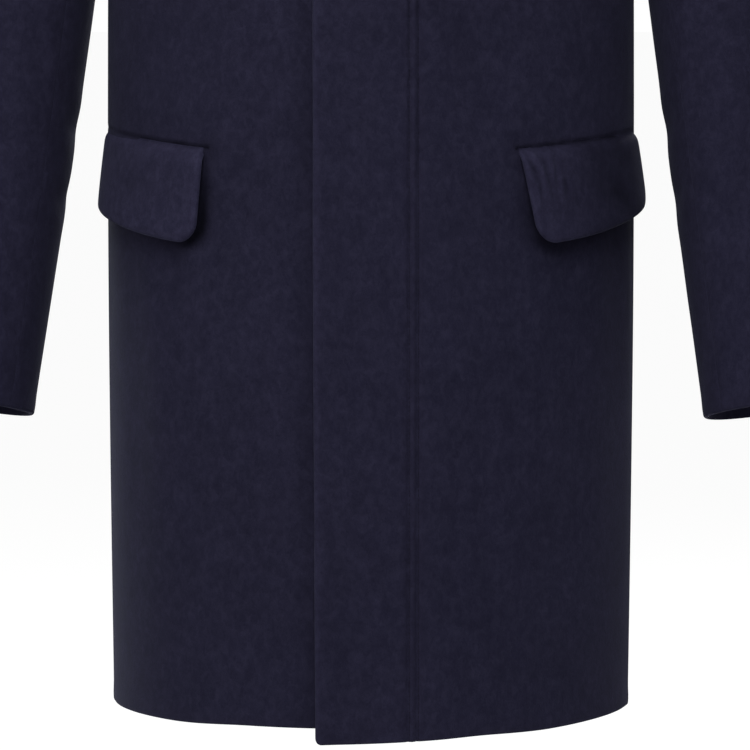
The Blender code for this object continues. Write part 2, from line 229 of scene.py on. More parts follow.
@dataclass(frozen=True)
class Profile:
    """A short table of sizes, read smoothly along its first column."""

    names: tuple[str, ...]
    rows: tuple[tuple[float, ...], ...]

    def read(self, name: str, place: Array) -> Array:
        """A column's value at a place along the first column.

        Args:
            name: The column to read.
            place: Where to read it.

        Returns:
            The column's value there.
        """
        table = np.array(self.rows)
        keys, values = table[:, 0], table[:, self.names.index(name)]
        slopes = np.gradient(values, keys)
        first = np.clip(np.searchsorted(keys, place) - 1, 0, len(keys) - 2)
        span = keys[first + 1] - keys[first]
        t = (place - keys[first]) / span
        start = (1 + 2 * t) * (1 - t) ** 2 * values[first] + t * (1 - t) ** 2 * span * slopes[first]
        return start + t * t * (3 - 2 * t) * values[first + 1] + t * t * (t - 1) * span * slopes[first + 1]


TORSO = Profile(
    ("height", "half_width", "front_depth", "back_depth", "roundness"),
    (
        (-0.950, 0.2044, 0.157, 0.146, 0.63),
        (-0.780, 0.2061, 0.154, 0.143, 0.62),
        (-0.600, 0.2071, 0.148, 0.137, 0.61),
        (-0.450, 0.2066, 0.141, 0.129, 0.60),
        (-0.360, 0.2057, 0.138, 0.126, 0.60),
        (-0.275, 0.2030, 0.138, 0.128, 0.60),
    ),
)
ARM = Profile(
    ("drop", "half_width", "half_depth", "forward"),
    (
        (0.000, 0.0555, 0.0730, 0.000),
        (0.120, 0.0520, 0.0665, 0.003),
        (0.240, 0.0490, 0.0600, 0.016),
        (0.345, 0.0465, 0.0545, 0.034),
        (0.412, 0.0450, 0.0515, 0.047),
    ),
)
CROWN = Profile(
    ("share", "depth", "height", "fullness"),
    (
        (0.00, -0.104, 0.252, 0.118),
        (0.20, -0.052, 0.300, 0.122),
        (0.40, 0.028, 0.310, 0.124),
        (0.60, 0.100, 0.268, 0.118),
        (0.80, 0.138, 0.196, 0.092),
        (1.00, 0.138, 0.116, 0.000),
    ),
)


@dataclass(frozen=True)
class CoatCut:
    """The sizes that every piece of the coat is cut to, and the seam lines that the pieces share."""

    hem: float = -0.950
    underarm: float = -0.275
    underarm_half_width: float = 0.203
    hem_shift_width: float = 0.205
    hem_dip: float = 0.0022
    hem_dip_from: float = 0.085
    hem_dip_width: float = 0.065
    neck_half_width: float = 0.083
    neck_middle: float = 0.004
    neck_front_reach: float = 0.096
    neck_back_reach: float = 0.068
    neck_front_drop: float = 0.078
    neck_back_rise: float = 0.014
    front_neck_share: float = 0.58
    back_neck_share: float = 0.74
    chest_curve: float = 1.6
    shoulder_blade_curve: float = 2.2
    shoulder_tip: Point = (0.222, 0.004, -0.048)
    armhole_front_reach: float = 0.070
    armhole_back_reach: float = 0.074
    armhole_hollow: float = 0.0295
    armhole_turn_in: Point = (1.0, 0.5, 0.0)
    sleeve_start_inner: float = 0.2059
    sleeve_start_height: float = -0.300
    sleeve_spread: float = 0.138
    sleeve_length: float = 0.412
    sleeve_pitch_step: float = 0.010
    cap_leave_top: Point = (0.86, 0.0, -0.51)
    cap_leave_front: Point = (0.80, -0.12, -0.58)
    cap_handle_share: float = 0.36
    hood_side_lean: float = 0.40
    hood_back_drop: float = 0.040
    hood_back_share: float = 0.70
    difference: float = 0.001

    def neck_share(self, half: Half) -> float:
        """How far up from the underarm to the shoulder seam the neck starts."""
        return self.front_neck_share if half is Half.FRONT else self.back_neck_share

    def clear_of_neck(self, half: Half, climb: Array) -> Array:
        """Rows held below the neck's start where a short step up or down would cross it."""
        start, margin = 1.0 + self.neck_share(half), 2 * self.difference
        return np.where(np.abs(climb - start) < margin, start - margin, climb)

    def neckline(self, turn: Array) -> Array:
        """The neck seam on the left.

        Args:
            turn: The share of the way round: 0 at the middle front, 0.5 at the shoulder, 1 at the nape.

        Returns:
            The points.
        """
        facing = np.cos(np.pi * np.asarray(turn))
        reach = np.where(facing > 0, self.neck_front_reach, self.neck_back_reach)
        rise = np.where(facing > 0, -self.neck_front_drop, self.neck_back_rise)
        across = self.neck_half_width * np.sin(np.pi * np.asarray(turn))
        return points(across, self.neck_middle - reach * facing, rise * facing**2)

    def armhole(self, angle: Array) -> Array:
        """The left armhole seam.

        Args:
            angle: 0 at the shoulder tip, a quarter turn at the front, a half turn at the underarm.

        Returns:
            The points.
        """
        top_x, top_y, top_z = self.shoulder_tip
        share = (1 - np.cos(angle)) / 2
        reach = np.where(np.sin(angle) > 0, self.armhole_front_reach, self.armhole_back_reach)
        across = mix(top_x, self.underarm_half_width, share) - self.armhole_hollow * np.sin(angle) ** 2
        depth = mix(top_y, 0.0, share) - reach * np.sin(angle)
        return points(across, depth, mix(top_z, self.underarm, share))

    def shoulder_direction(self) -> Array:
        """The shoulder seam's direction, from neck to tip."""
        return unit(np.array(self.shoulder_tip) - self.neckline(0.5))

    def armhole_direction(self, half: Half, climb: Array) -> Array:
        """The way the cloth runs into the side or armhole seam.

        Args:
            half: The front or the back.
            climb: How far up from the underarm to the shoulder seam, with a last axis of one.

        Returns:
            The directions, at length one.
        """
        side = np.array((0.0, -half.value, 0.0))
        turn_in = np.array(self.armhole_turn_in) * (1.0, -half.value, 1.0)
        shoulder = self.shoulder_direction()
        return unit((1 - climb) ** 2 * side + 2 * climb * (1 - climb) * turn_in + climb**2 * shoulder)

    def skirt(self, half: Half, height: Array, t: Array) -> Array:
        """Points on the body below the underarm.

        Args:
            half: The front or the back.
            height: The row's height.
            t: The share of the way from the middle to the side seam.

        Returns:
            The points.
        """
        width = TORSO.read("half_width", height)
        depth = half.value * TORSO.read(f"{half.name.lower()}_depth", height)
        roundness = TORSO.read("roundness", height)
        return bezier(
            points(0.0, depth, height),
            points(roundness * width, depth, height),
            points(width, depth * (1 - roundness), height),
            points(width, 0.0, height),
            np.asarray(t)[..., None],
        )

    def yoke(self, half: Half, climb: Array, t: Array) -> Array:
        """Points on the body above the underarm.

        Args:
            half: The front or the back.
            climb: How far up, 0 at the underarm's level and 1 at the shoulder seam.
            t: The share of the way from the middle or the neck to the armhole.

        Returns:
            The points.
        """
        front, neck_share = half is Half.FRONT, self.neck_share(half)
        edge = self.skirt(half, np.asarray(self.underarm), np.asarray(0.0))
        neck = self.neckline(0.0 if front else 1.0)
        rise = np.clip(climb / neck_share, 0.0, 1.0)
        bow = rise ** (self.chest_curve if front else self.shoulder_blade_curve)
        middle = points(0.0, mix(edge[1], neck[1], bow), mix(edge[2], neck[2], rise))
        turn = 0.5 * np.clip((climb - neck_share) / (1 - neck_share), 0.0, None)
        neckline = self.neckline(turn if front else 1.0 - turn)
        start = np.where((climb < neck_share)[..., None], middle, neckline)
        sweep = climb**2 * (2 - climb)
        end = self.armhole(np.pi * (1 - sweep) if front else np.pi * (1 + sweep))
        chord = np.linalg.norm(end - start, axis=-1)
        lean = ease((climb - neck_share) / (1 - neck_share))[..., None]
        leave = unit(mix(np.array((1.0, 0.0, 0.0)), self.shoulder_direction(), lean))
        arrive = self.armhole_direction(half, sweep[..., None])
        roundness = TORSO.read("roundness", np.asarray(self.underarm))
        leave_length = mix(roundness * self.underarm_half_width, chord / 3, sweep)[..., None]
        arrive_length = mix((1 - roundness) * abs(edge[1]), chord / 3, sweep)[..., None]
        return bezier(start, start + leave * leave_length, end - arrive * arrive_length, end, t[..., None])

    def body(self, half: Half, hem_shift: float, t: Array, climb: Array) -> Array:
        """Points on a front or back, from the hem by the underarm to the shoulder seam.

        Args:
            half: The front or the back.
            hem_shift: How far the hem's middle is raised.
            t: The share of the way from the middle to the side, negative past the middle.
            climb: 0 at the hem, 1 at the underarm, 2 at the shoulder seam.

        Returns:
            The points.
        """
        t, climb = np.broadcast_arrays(np.asarray(t, float), np.asarray(climb, float))
        past = (t < 0) & (climb <= 1 + self.neck_share(half))
        mirror = points(np.where(past, -1.0, 1.0), 1.0, 1.0)
        t = np.where(past, -t, t)
        across = self.skirt(half, np.full_like(t, self.hem), t)[..., 0] * mirror[..., 0]
        hem = self.hem + hem_shift * (1 - across / self.hem_shift_width)
        hem = hem - self.hem_dip * ease((across - self.hem_dip_from) / self.hem_dip_width)
        skirt = self.skirt(half, mix(hem, self.underarm, np.minimum(climb, 1.0)), t)
        yoke = self.yoke(half, np.clip(climb - 1, 0.0, None), t)
        return np.where((climb >= 1)[..., None], yoke, skirt) * mirror

    def arm_ring(self, drop: Array, angle: Array) -> Array:
        """Points round the left arm.

        Args:
            drop: How far below the sleeve's full width.
            angle: The turn round the arm: 0 at its outer side, a quarter turn at its front.

        Returns:
            The points.
        """
        spread = math.atan(self.sleeve_spread)
        width, depth = ARM.read("half_width", drop), ARM.read("half_depth", drop)
        above = ARM.read("forward", drop - self.sleeve_pitch_step)
        below = ARM.read("forward", drop + self.sleeve_pitch_step)
        pitch = np.arctan2(below - above, 2 * self.sleeve_pitch_step)
        inner = self.sleeve_start_inner + self.sleeve_spread * drop
        centre = points(inner + width, -ARM.read("forward", drop), self.sleeve_start_height - drop)
        outer = np.array((math.cos(spread), 0.0, math.sin(spread)))
        front = points(0.0, -np.cos(pitch), np.sin(pitch))
        sideways = outer * (width * np.cos(angle))[..., None]
        return centre + sideways + front * (depth * np.sin(angle))[..., None]

    def sleeve(self, angle: Array, reach: Array) -> Array:
        """Points on the left sleeve.

        Args:
            angle: The turn round the armhole and the arm.
            reach: 0 at the armhole, 1 at the sleeve's full width, 2 at the cuff.

        Returns:
            The points.
        """
        angle, reach = np.broadcast_arrays(np.asarray(angle, float), np.asarray(reach, float))
        arm = self.arm_ring(np.clip(reach - 1, 0.0, None) * self.sleeve_length, angle)
        start, end = self.armhole(angle), self.arm_ring(np.zeros_like(angle), angle)
        down = unit(self.arm_ring(np.full_like(angle, self.difference), angle) - end)
        leave_x, leave_y, leave_z = self.cap_leave_front
        front = points(leave_x, leave_y * np.sin(angle), leave_z)
        top = np.where((np.cos(angle) > 0)[..., None], np.array(self.cap_leave_top), down)
        leave = unit(mix(front, top, (np.cos(angle) ** 2)[..., None]))
        handle = self.cap_handle_share * np.linalg.norm(end - start, axis=-1, keepdims=True)
        share = np.clip(reach, 0.0, 1.0)[..., None]
        cap = bezier(start, start + leave * handle, end - down * handle, end, share)
        return np.where((reach >= 1)[..., None], arm, cap)

    def hood(self, rise: Array, share: Array) -> Array:
        """Points on the hood's left half.

        Args:
            rise: The share of the way from the neck to the crown seam.
            share: The share of the way from the face's edge to the back seam.

        Returns:
            The points.
        """
        rise, share = np.broadcast_arrays(np.asarray(rise, float), np.asarray(share, float))
        mirror = points(np.where(share > 1, -1.0, 1.0), 1.0, 1.0)
        share = np.where(share > 1, 2 - share, share)
        start = self.neckline(share)
        end = points(0.0, CROWN.read("depth", share), CROWN.read("height", share))
        fullness = CROWN.read("fullness", share)
        leave = start + (end - start) * self.hood_side_lean
        leave[..., 0] = np.maximum(start[..., 0], fullness)
        drop = self.hood_back_drop * ease((share - self.hood_back_share) / (1 - self.hood_back_share))
        arrive = end + points(fullness, 0.0, -drop)
        return bezier(start, leave, arrive, end, rise[..., None]) * mirror


@dataclass(frozen=True)
class Crease:
    """One soft trough in the cloth, or a ridge where its depth is negative.

    Attributes:
        across: Its middle's place across the cloth.
        up: Its middle's place up the cloth.
        width: Its half width, where it has mostly faded.
        depth: How deep it is at its middle.
        tilt: Its turn from upright, in degrees, its top towards the side.
        bow: How far its middle bows sideways.
        taper: How much narrower it gets towards its top.
        waver: How much its depth wavers along it.
        bank: The height of the banks on both sides, as a share of its depth.
        bank_place: How far out they are, in widths.
    """

    across: float
    up: float
    length: float
    width: float
    depth: float
    tilt: float = 0.0
    bow: float = 0.0
    taper: float = 0.25
    fade_power: int = 3
    waver: float = 0.2
    waver_rate: float = 5.1
    waver_start: float = 40.0
    bank: float = 0.45
    bank_place: float = 1.7

    def relief(self, across: Array, up: Array) -> Array:
        """How far the cloth stands out because of the crease.

        Args:
            across: Places across the cloth.
            up: Places up the cloth.

        Returns:
            The relief, in metres.
        """
        turn = math.radians(self.tilt)
        along = (up - self.up) * math.cos(turn) + (across - self.across) * math.sin(turn)
        share = along / (self.length / 2)
        off = (across - self.across) * math.cos(turn) - (up - self.up) * math.sin(turn)
        off = off - self.bow * (1 - share**2)
        width = self.width * (1.0 - self.taper * np.tanh(share))
        waver = 1.0 + self.waver * np.sin(self.waver_rate * share + self.waver_start * self.up)
        fade = np.exp(-np.abs(share) ** self.fade_power) * waver
        place = self.bank_place * width
        banks = self.bank * (bell(off - place, width) + bell(off + place, width))
        return self.depth * fade * (banks - bell(off, width))


@dataclass(frozen=True)
class Unevenness:
    """The slight waviness of hung cloth, made of a few long waves that cross.

    Each next wave is turned by the golden angle, moved along, and longer and stronger than the last.

    Attributes:
        height: The height of the waves.
        wave: Their usual length.
        count: How many cross.
        upright: How much slower they change up the cloth than across it.
    """

    height: float
    wave: float
    count: int = 9
    golden: float = 2.399963
    shortest: float = 0.55
    growth: float = 0.13
    upright: float = 0.6
    shift: float = 1.7

    def relief(self, across: Array, up: Array, seed: float) -> Array:
        """How far the cloth stands out here.

        Args:
            across: Places across the cloth.
            up: Places up the cloth.
            seed: A number that makes each piece's waves its own.

        Returns:
            The relief, in metres.
        """
        total = np.zeros_like(across)
        for k in range(self.count):
            turn = self.golden * (k + seed)
            size = self.shortest + self.growth * k
            along = across * math.cos(turn) + self.upright * up * math.sin(turn)
            phase = 2 * math.pi * along / (self.wave * size) + self.shift * turn
            total += np.sin(phase) * size
        return self.height * total / self.count


@dataclass
class ClothGrid:
    """A piece's points laid out in rows and columns, with its places along the cloth.

    Attributes:
        s: Each point's parameter along its row.
        r: Each point's parameter along its column.
        places: The points.
        normals: The outward normals.
        across: How far along its row each point is from the column that counts as the start.
        up: How far along its column each point is from the first row.
        kept: Whether there is cloth.
    """

    s: Array
    r: Array
    places: Array
    normals: Array
    across: Array
    up: Array
    kept: Array

    def from_end(self) -> Array:
        """How far each point is from the last column."""
        return self.across[:, [-1]] - self.across

    def from_top(self) -> Array:
        """How far each point is from the last row."""
        return self.up[[-1], :] - self.up


@dataclass
class ClothPanel:
    """One cut piece of the coat's cloth, a thin shell on the form of its solids.

    Attributes:
        cut: The coat's shared sizes.
        side: The wearer's side that the piece belongs to.
        flat: The width and length that it is cut to, with its turnings.
        creases: Its own creases, in distances along the cloth.
        label: What the piece is called.
        part: What its name ends in, where there are more of them.
        walls: What the names of its solids end in.
        measured_row: The row that its columns are spaced along.
        measured_column: The column that its rows are spaced along.
        step: The widest gap between its grid's lines.
        outward: The sign that turns the grid's own normals outwards.
        seed: What makes its waves and its wool's pattern its own.
    """

    cut: CoatCut
    side: Side
    flat: Pair
    area: float
    creases: tuple[Crease, ...] = ()
    label: str = ""
    part: str = ""
    walls: tuple[str, ...] = ("",)
    measured_row: float = 0.0
    measured_column: float = 0.0
    thickness: float = 0.003
    least_wall: float = 0.0003
    outer_roll: float = 0.0022
    inner_roll: float = 0.0005
    step: float = 0.0042
    outward: int = 1
    seam_height: float = 0.0013
    seam_width: float = 0.0024
    seam_reach: float = 0.0095
    seam_calm: float = 0.022
    edge_swell: float = 0.0004
    edge_band: float = 0.0065
    waves: Unevenness = Unevenness(0.0006, 0.150)
    lumps: Unevenness = Unevenness(0.00012, 0.030)
    lumps_seed: float = 0.5
    seed: float = 0.0
    grid: ClothGrid | None = field(default=None, init=False, repr=False)
    face: Array | None = field(default=None, init=False, repr=False)

    def name(self) -> str:
        """The piece's name."""
        return f"{self.label}_{self.side.name.lower()}{self.part}_cloth"

    def nodes(self) -> list[str]:
        """The solids that the piece stands for."""
        return [f"{self.label}_{self.side.name.lower()}{wall}" for wall in self.walls]

    def plain(self, s: Array, r: Array) -> Array:
        """Points on the piece as it is measured, drawn on the wearer's left."""
        raise NotImplementedError

    def surface(self, s: Array, r: Array) -> Array:
        """Points on the piece's outer face, drawn on the wearer's left."""
        return self.plain(s, r)

    def columns(self, low: float, high: float, edges: tuple[Edge, Edge],
                close: Sequence[float] = ()) -> Array:
        """Parameters of the grid's columns, spaced along the measured row as lines_along says."""
        s = np.linspace(low, high, MEASURED_PLACES)
        return lines_along(s, self.plain(s, np.full_like(s, self.measured_row)), self.step, edges, close)

    def rows(self, low: float, high: float, edges: tuple[Edge, Edge],
             close: Sequence[float] = ()) -> Array:
        """Parameters of the grid's rows, spaced along the measured column as lines_along says."""
        r = np.linspace(low, high, MEASURED_PLACES)
        return lines_along(r, self.plain(np.full_like(r, self.measured_column), r), self.step, edges, close)

    def lines(self) -> tuple[Array, Array]:
        """The parameters of the grid's columns and rows."""
        raise NotImplementedError

    def has_cloth(self, s: Array, r: Array) -> Array:
        """Whether the piece has cloth at these parameters."""
        return np.ones(np.broadcast(s, r).shape, bool)

    def fold_distance(self, grid: ClothGrid) -> Array:
        """How far each point is from the nearest turned edge, here the first row."""
        return grid.up

    def seam_distance(self, grid: ClothGrid) -> Array:
        """How far each point is from the nearest sewn edge, here the other three."""
        return np.minimum.reduce([grid.across, grid.from_end(), grid.from_top()])

    def own_relief(self, grid: ClothGrid) -> Array:
        """How far the piece's own details stand out, apart from edges, seams and creases."""
        return np.zeros_like(grid.across)

    def calm(self, grid: ClothGrid) -> Array:
        """The share of its waves and creases that each point takes."""
        return np.ones_like(grid.across)

    def nap(self, grid: ClothGrid) -> Array:
        """The painted light at each point, as a share of the colour; where negative it is painted shade."""
        return np.zeros_like(grid.across)

    def normals_at(self, s: Array, r: Array) -> Array:
        """The outward normals."""
        return self.outward * square_to(self.surface, s, r, self.cut.difference)

    def origin_column(self, grid_s: Array) -> int:
        """The column that distances across the cloth are counted from."""
        return 0

    def laid_out(self) -> ClothGrid:
        """The piece's grid.

        Returns:
            The grid, with every point's place, normal and distances along the cloth.
        """
        columns, rows = self.lines()
        s, r = np.meshgrid(columns, rows)
        places = self.surface(s, r)
        across = run_lengths(places, 1)
        across = across - across[:, [self.origin_column(columns)]]
        up = run_lengths(places, 0)
        return ClothGrid(s, r, places, self.normals_at(s, r), across, up, self.has_cloth(s, r))

    def soft_relief(self, grid: ClothGrid) -> Array:
        """How far both faces of the cloth stand out for its waves and creases.

        Args:
            grid: The piece's grid.

        Returns:
            The relief at each point.
        """
        soft = self.waves.relief(grid.across, grid.up, self.seed)
        soft = soft + self.lumps.relief(grid.across, grid.up, self.seed + self.lumps_seed)
        for crease in self.creases:
            soft = soft + crease.relief(grid.across, grid.up)
        return soft * self.calm(grid) * ease(self.seam_distance(grid) / self.seam_calm)

    def face_relief(self, grid: ClothGrid) -> Array:
        """How far the outer face alone stands out for seams, turned edges and the piece's own details.

        Args:
            grid: The piece's grid.

        Returns:
            The relief at each point.
        """
        seam, fold = self.seam_distance(grid), self.fold_distance(grid)
        sewn = self.seam_height * (1 - bell(seam, self.seam_width)) * bell(seam, self.seam_reach)
        turned = self.edge_swell * bell(fold - self.edge_band, self.edge_band)
        return sewn + turned + self.own_relief(grid)

    def wall(self, grid: ClothGrid) -> Array:
        """The thickness of the cloth at each point, before its turned edges are rounded off."""
        return np.full_like(grid.across, self.thickness)

    def settled(self, grid: ClothGrid) -> Array:
        """The points of the outer face before it gets its relief."""
        return grid.places

    def build(self) -> bpy.types.Object:
        """The piece's shell as a new object.

        Returns:
            The object, with its cloth coordinates as a UV map.
        """
        grid = self.laid_out()
        fold, soft = self.fold_distance(grid), self.soft_relief(grid)
        outer = soft + self.face_relief(grid) - rolled(fold, self.outer_roll)
        inner = soft - self.wall(grid) + rolled(fold, self.inner_roll)
        inner = np.minimum(inner, outer - self.least_wall)
        mirror = np.array((self.side.value, 1.0, 1.0))
        start = self.settled(grid)
        layers = [(start + grid.normals * height[..., None]) * mirror for height in (outer, inner)]
        self.grid, self.face = grid, layers[0]
        faces = shell_faces(grid.kept, self.outward * self.side.value < 0)
        used, faces = np.unique(faces, return_inverse=True)
        corners = np.concatenate([layer.reshape(-1, 3) for layer in layers])[used]
        flat = np.stack((grid.across, grid.up), axis=-1).reshape(-1, 2)
        flat = np.concatenate((flat, flat))[used]
        # Painted light and shade, for both faces.
        nap = np.tile(self.nap(grid).ravel(), 2)[used]
        return cloth_object(self.name(), corners, faces.reshape(-1, 4), flat, nap)

    def dress(self, piece: bpy.types.Object, finish: "WoolFinish", rests_on: Sequence[str],
              trims: Sequence[bpy.types.Object] = ()) -> None:
        """Gives the piece its cloth, parents it to the body and hides the solids that it stands for.

        Args:
            piece: The built object.
            finish: The cloth.
            rests_on: The pieces or nodes that it hangs from or lies on; not used.
            trims: The separate pieces that are on it; not used.
        """
        piece.data.materials.append(finish.material(f"{self.name()}_wool", self.seed))
        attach(piece, BODY)
        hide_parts(*self.nodes())
        list(rests_on)


def shell_faces(kept: Array, flipped: bool) -> Array:
    """The faces of a shell: its outer grid, its inner grid and the rim that joins them.

    Args:
        kept: Which points of the grid have cloth.
        flipped: Whether the grid's own order faces inwards.

    Returns:
        Four corner numbers a face. Inner points are numbered after all the outer ones.
    """
    count = kept.size
    index = np.arange(count).reshape(kept.shape)
    whole = kept[:-1, :-1] & kept[:-1, 1:] & kept[1:, 1:] & kept[1:, :-1]
    corners = (index[:-1, :-1], index[:-1, 1:], index[1:, 1:], index[1:, :-1])
    outer = np.stack([corner[whole] for corner in corners], axis=-1)
    if flipped:
        outer = outer[:, ::-1]
    first, second = outer.ravel(), np.roll(outer, -1, axis=1).ravel()
    lone = ~np.isin(first * count + second, second * count + first)
    first, second = first[lone], second[lone]
    rim = np.stack((second, first, first + count, second + count), axis=-1)
    return np.concatenate((outer, outer[:, ::-1] + count, rim))


def smooth_object(name: str, corners: Array, faces: Sequence[Sequence[int]]) -> bpy.types.Object:
    """A new smooth object.

    Args:
        name: The object's name.
        corners: The corners' places.
        faces: Corner numbers of each face.

    Returns:
        The object, linked to the scene.
    """
    mesh = bpy.data.meshes.new(name)
    mesh.from_pydata(corners, [], faces)
    mesh.shade_smooth()
    return in_scene(name, mesh)


def cloth_object(name: str, corners: Array, faces: Array, flat: Array, nap: Array) -> bpy.types.Object:
    """A new smooth object that carries its places on the flat cloth and its painted light and shade.

    Args:
        name: The object's name.
        corners: The corners' places.
        faces: Corner numbers of each face.
        flat: Each corner's place on the flat cloth.
        nap: The painted light at each corner, as a share; where negative it is painted shade.

    Returns:
        The object, linked to the scene.
    """
    piece = smooth_object(name, corners, faces)
    mesh = piece.data
    cloth = mesh.uv_layers.new(name="cloth")
    loops = np.empty(len(mesh.loops), np.int32)
    mesh.loops.foreach_get("vertex_index", loops)
    cloth.data.foreach_set("uv", flat[loops].astype(np.float32).ravel())
    # The painted light and shade, as a point attribute that the wool material adds to the grey its colour
    # is multiplied by.
    mesh.attributes.new("nap", "FLOAT", "POINT").data.foreach_set("value", nap.astype(np.float32))
    return piece


@dataclass
class FrontPanel(ClothPanel):
    """A front, with the lap that covers the fastening.

    Attributes:
        hem_shift: How far the hem's middle is raised.
        lap: How far the front goes past the middle.
        lap_clearance: The gap between the two fronts where they lap.
        lap_ease: Where the left front comes down to the level of the right one, from the middle.
        lap_neck_ease: The share of the climb over which the lap closes up above the neck's middle.
        lap_lean: How much further the lap's edge goes past the middle, higher up.
        lap_edge_waves: The height, length and start of each wave along the lap's edge.
        neck_fade: How far below the neck the lap's details have come in.
        fly_lines: How far from the middle the fastening's two rows of stitching are.
        fly_waves: The length and start of the two waves that make the rows uneven.
        calm_widths: The widths over which most of the waves and creases, and the rest, come in.
        corner: The radius of the lap's corner at the hem.
        pocket_columns: Where the flap's inner end is, across the cloth, and so the grid is close.
        pocket_rows: The same up the cloth from the hem, for the whole flap.
        flap: The pocket flap that is sewn on it.
    """

    label: str = "front"
    walls: tuple[str, ...] = ("_lower", "_upper")
    measured_row: float = 0.5
    measured_column: float = 0.35
    hem_shift: float = 0.0
    lap: float = 0.0332
    lap_clearance: float = 0.0007
    lap_ease: Pair = (0.050, 0.100)
    lap_neck_ease: float = 0.168
    lap_lean: float = 0.0040
    lap_lean_height: float = 0.55
    lap_lean_reach: float = 0.030
    lap_edge_lift: float = 0.0016
    lap_edge_reach: float = 0.009
    lap_edge_waves: tuple[tuple[float, float, float], ...] = ((0.2, 0.047, 0.0), (0.15, 0.0211, 2.0))
    lap_roll: float = 0.0042
    lap_roll_share: float = 0.85
    # Painted highlight along the lap's edge, and painted shadow on the right front in the fold that the lap
    # covers.
    painted_edge_highlight: float = 0.31
    painted_highlight_from: float = 0.0012
    painted_highlight_width: float = 0.0034
    painted_fold_shadow: float = 0.25
    painted_fold_shadow_start: float = 0.006
    painted_fold_shadow_width: float = 0.015
    neck_fade: float = 0.012
    fly_lines: Pair = (0.0377, 0.0446)
    fly_depth: float = 0.0015
    fly_width: float = 0.0015
    fly_second: float = 0.85
    fly_unevenness: float = 0.25
    fly_waves: tuple[Pair, Pair] = ((0.0113, 0.0), (0.0071, 1.0))
    fly_ridge: float = 0.0006
    fly_ridge_width: float = 0.0017
    calm_from: float = 0.034
    calm_widths: Pair = (0.020, 0.010)
    calm_share: float = 0.85
    corner: float = 0.0055
    pocket_columns: Pair = (0.110, 0.150)
    pocket_rows: Pair = (0.352, 0.472)
    pocket_step: float = 0.0015
    pocket_depth: float = 0.0018
    pocket_width: float = 0.0017
    flap: "PocketFlap | None" = None

    def neck(self) -> float:
        """The climb at which the neck starts."""
        return 1.0 + self.cut.front_neck_share

    def plain(self, s: Array, r: Array) -> Array:
        """Points on the front before one front is lifted over the other."""
        return self.cut.body(Half.FRONT, self.hem_shift, s, r)

    def surface(self, s: Array, r: Array) -> Array:
        """Points on the front's outer face.

        Args:
            s: The share of the way from the middle to the side, negative on the lap.
            r: 0 at the hem, 1 at the underarm, 2 at the shoulder seam.

        Returns:
            The points, on the left front lifted over the right one.
        """
        place = self.plain(s, r)
        if self.side is Side.RIGHT:
            return place
        level = self.cut.clear_of_neck(Half.FRONT, r)
        normal = square_to(self.plain, s, level, self.cut.difference)
        sideways = (place[..., 0] - self.lap_ease[0]) / (self.lap_ease[1] - self.lap_ease[0])
        upward = (r - self.neck()) / self.lap_neck_ease
        lift = (self.thickness + self.lap_clearance) * (1 - ease(sideways)) * (1 - ease(upward))
        return place + normal * lift[..., None]

    def normals_at(self, s: Array, r: Array) -> Array:
        """The outward normals, from rows clear of the neck's start."""
        return super().normals_at(s, self.cut.clear_of_neck(Half.FRONT, r))

    def lap_start(self) -> float:
        """The row parameter of the lap's edge.

        Returns:
            The parameter, which is negative.
        """
        samples = np.linspace(0.0, 1.0, LAP_PLACES)
        across = self.cut.skirt(Half.FRONT, np.full_like(samples, self.cut.hem), samples)[:, 0]
        return -float(np.interp(self.lap, across, samples))

    def lines(self) -> tuple[Array, Array]:
        """Columns from the lap's edge to the side, and rows from the hem to the shoulder seam.

        Returns:
            The parameters of both, close at the pocket and, on the left, at the rows of stitching.
        """
        neck = self.neck()
        stitched = beside(self.fly_lines) if self.side is Side.LEFT else []
        close = [*stitched, *np.arange(*self.pocket_columns, self.pocket_step)]
        close = [self.lap + place for place in close]
        columns = self.columns(self.lap_start(), 1.0, (Edge.FOLDED, Edge.SEWN), close)
        columns[np.argmin(np.abs(columns))] = 0.0
        pocket = np.arange(*self.pocket_rows, self.pocket_step)
        skirt = self.rows(0.0, neck, (Edge.FOLDED, Edge.FOLDED), pocket)
        yoke = self.rows(neck, 2.0, (Edge.PLAIN, Edge.SEWN))
        return columns, np.concatenate((skirt, yoke[1:]))

    def has_cloth(self, s: Array, r: Array) -> Array:
        """The lap ends level with the neck's middle."""
        return (s >= 0) | (r <= self.neck() + TINY)

    def origin_column(self, grid_s: Array) -> int:
        """The middle of the front."""
        return int(np.argmin(np.abs(grid_s)))

    def neck_row(self, grid: ClothGrid) -> int:
        """The row where the neck starts."""
        return int(np.argmin(np.abs(grid.r[:, 0] - self.neck())))

    def above_neck(self, grid: ClothGrid) -> Array:
        """How far above the neck's start each point is, along the cloth."""
        return grid.up - grid.up[[self.neck_row(grid)], :]

    def below_neck(self, grid: ClothGrid) -> Array:
        """The share of the lap's details that each point takes: none from the neck up."""
        return ease(-self.above_neck(grid) / self.neck_fade)

    def from_lap_edge(self, grid: ClothGrid) -> Array:
        """How far each point is from the lap's edge."""
        below = grid.across - grid.across[:, [0]]
        return np.where(self.above_neck(grid) <= 0, below, grid.across + self.lap)

    def fold_distance(self, grid: ClothGrid) -> Array:
        """The lap's edge, its top and the hem are turned."""
        top = np.hypot(np.maximum(grid.across, 0.0), self.above_neck(grid))
        return np.minimum.reduce([self.from_lap_edge(grid), top, grid.up])

    def seam_distance(self, grid: ClothGrid) -> Array:
        """The neck, the side, the armhole and the shoulder are sewn."""
        neck = np.hypot(grid.across, np.minimum(self.above_neck(grid), 0.0))
        return np.minimum.reduce([neck, grid.from_end(), grid.from_top()])

    def calm(self, grid: ClothGrid) -> Array:
        """Flat where the two fronts lap.

        Args:
            grid: The piece's grid.

        Returns:
            The share of its waves and creases that each point takes.
        """
        most = ease((np.abs(grid.across) - self.calm_from) / self.calm_widths[0])
        rest = ease((grid.across - self.calm_from) / self.calm_widths[1])
        return self.calm_share * most + (1 - self.calm_share) * rest

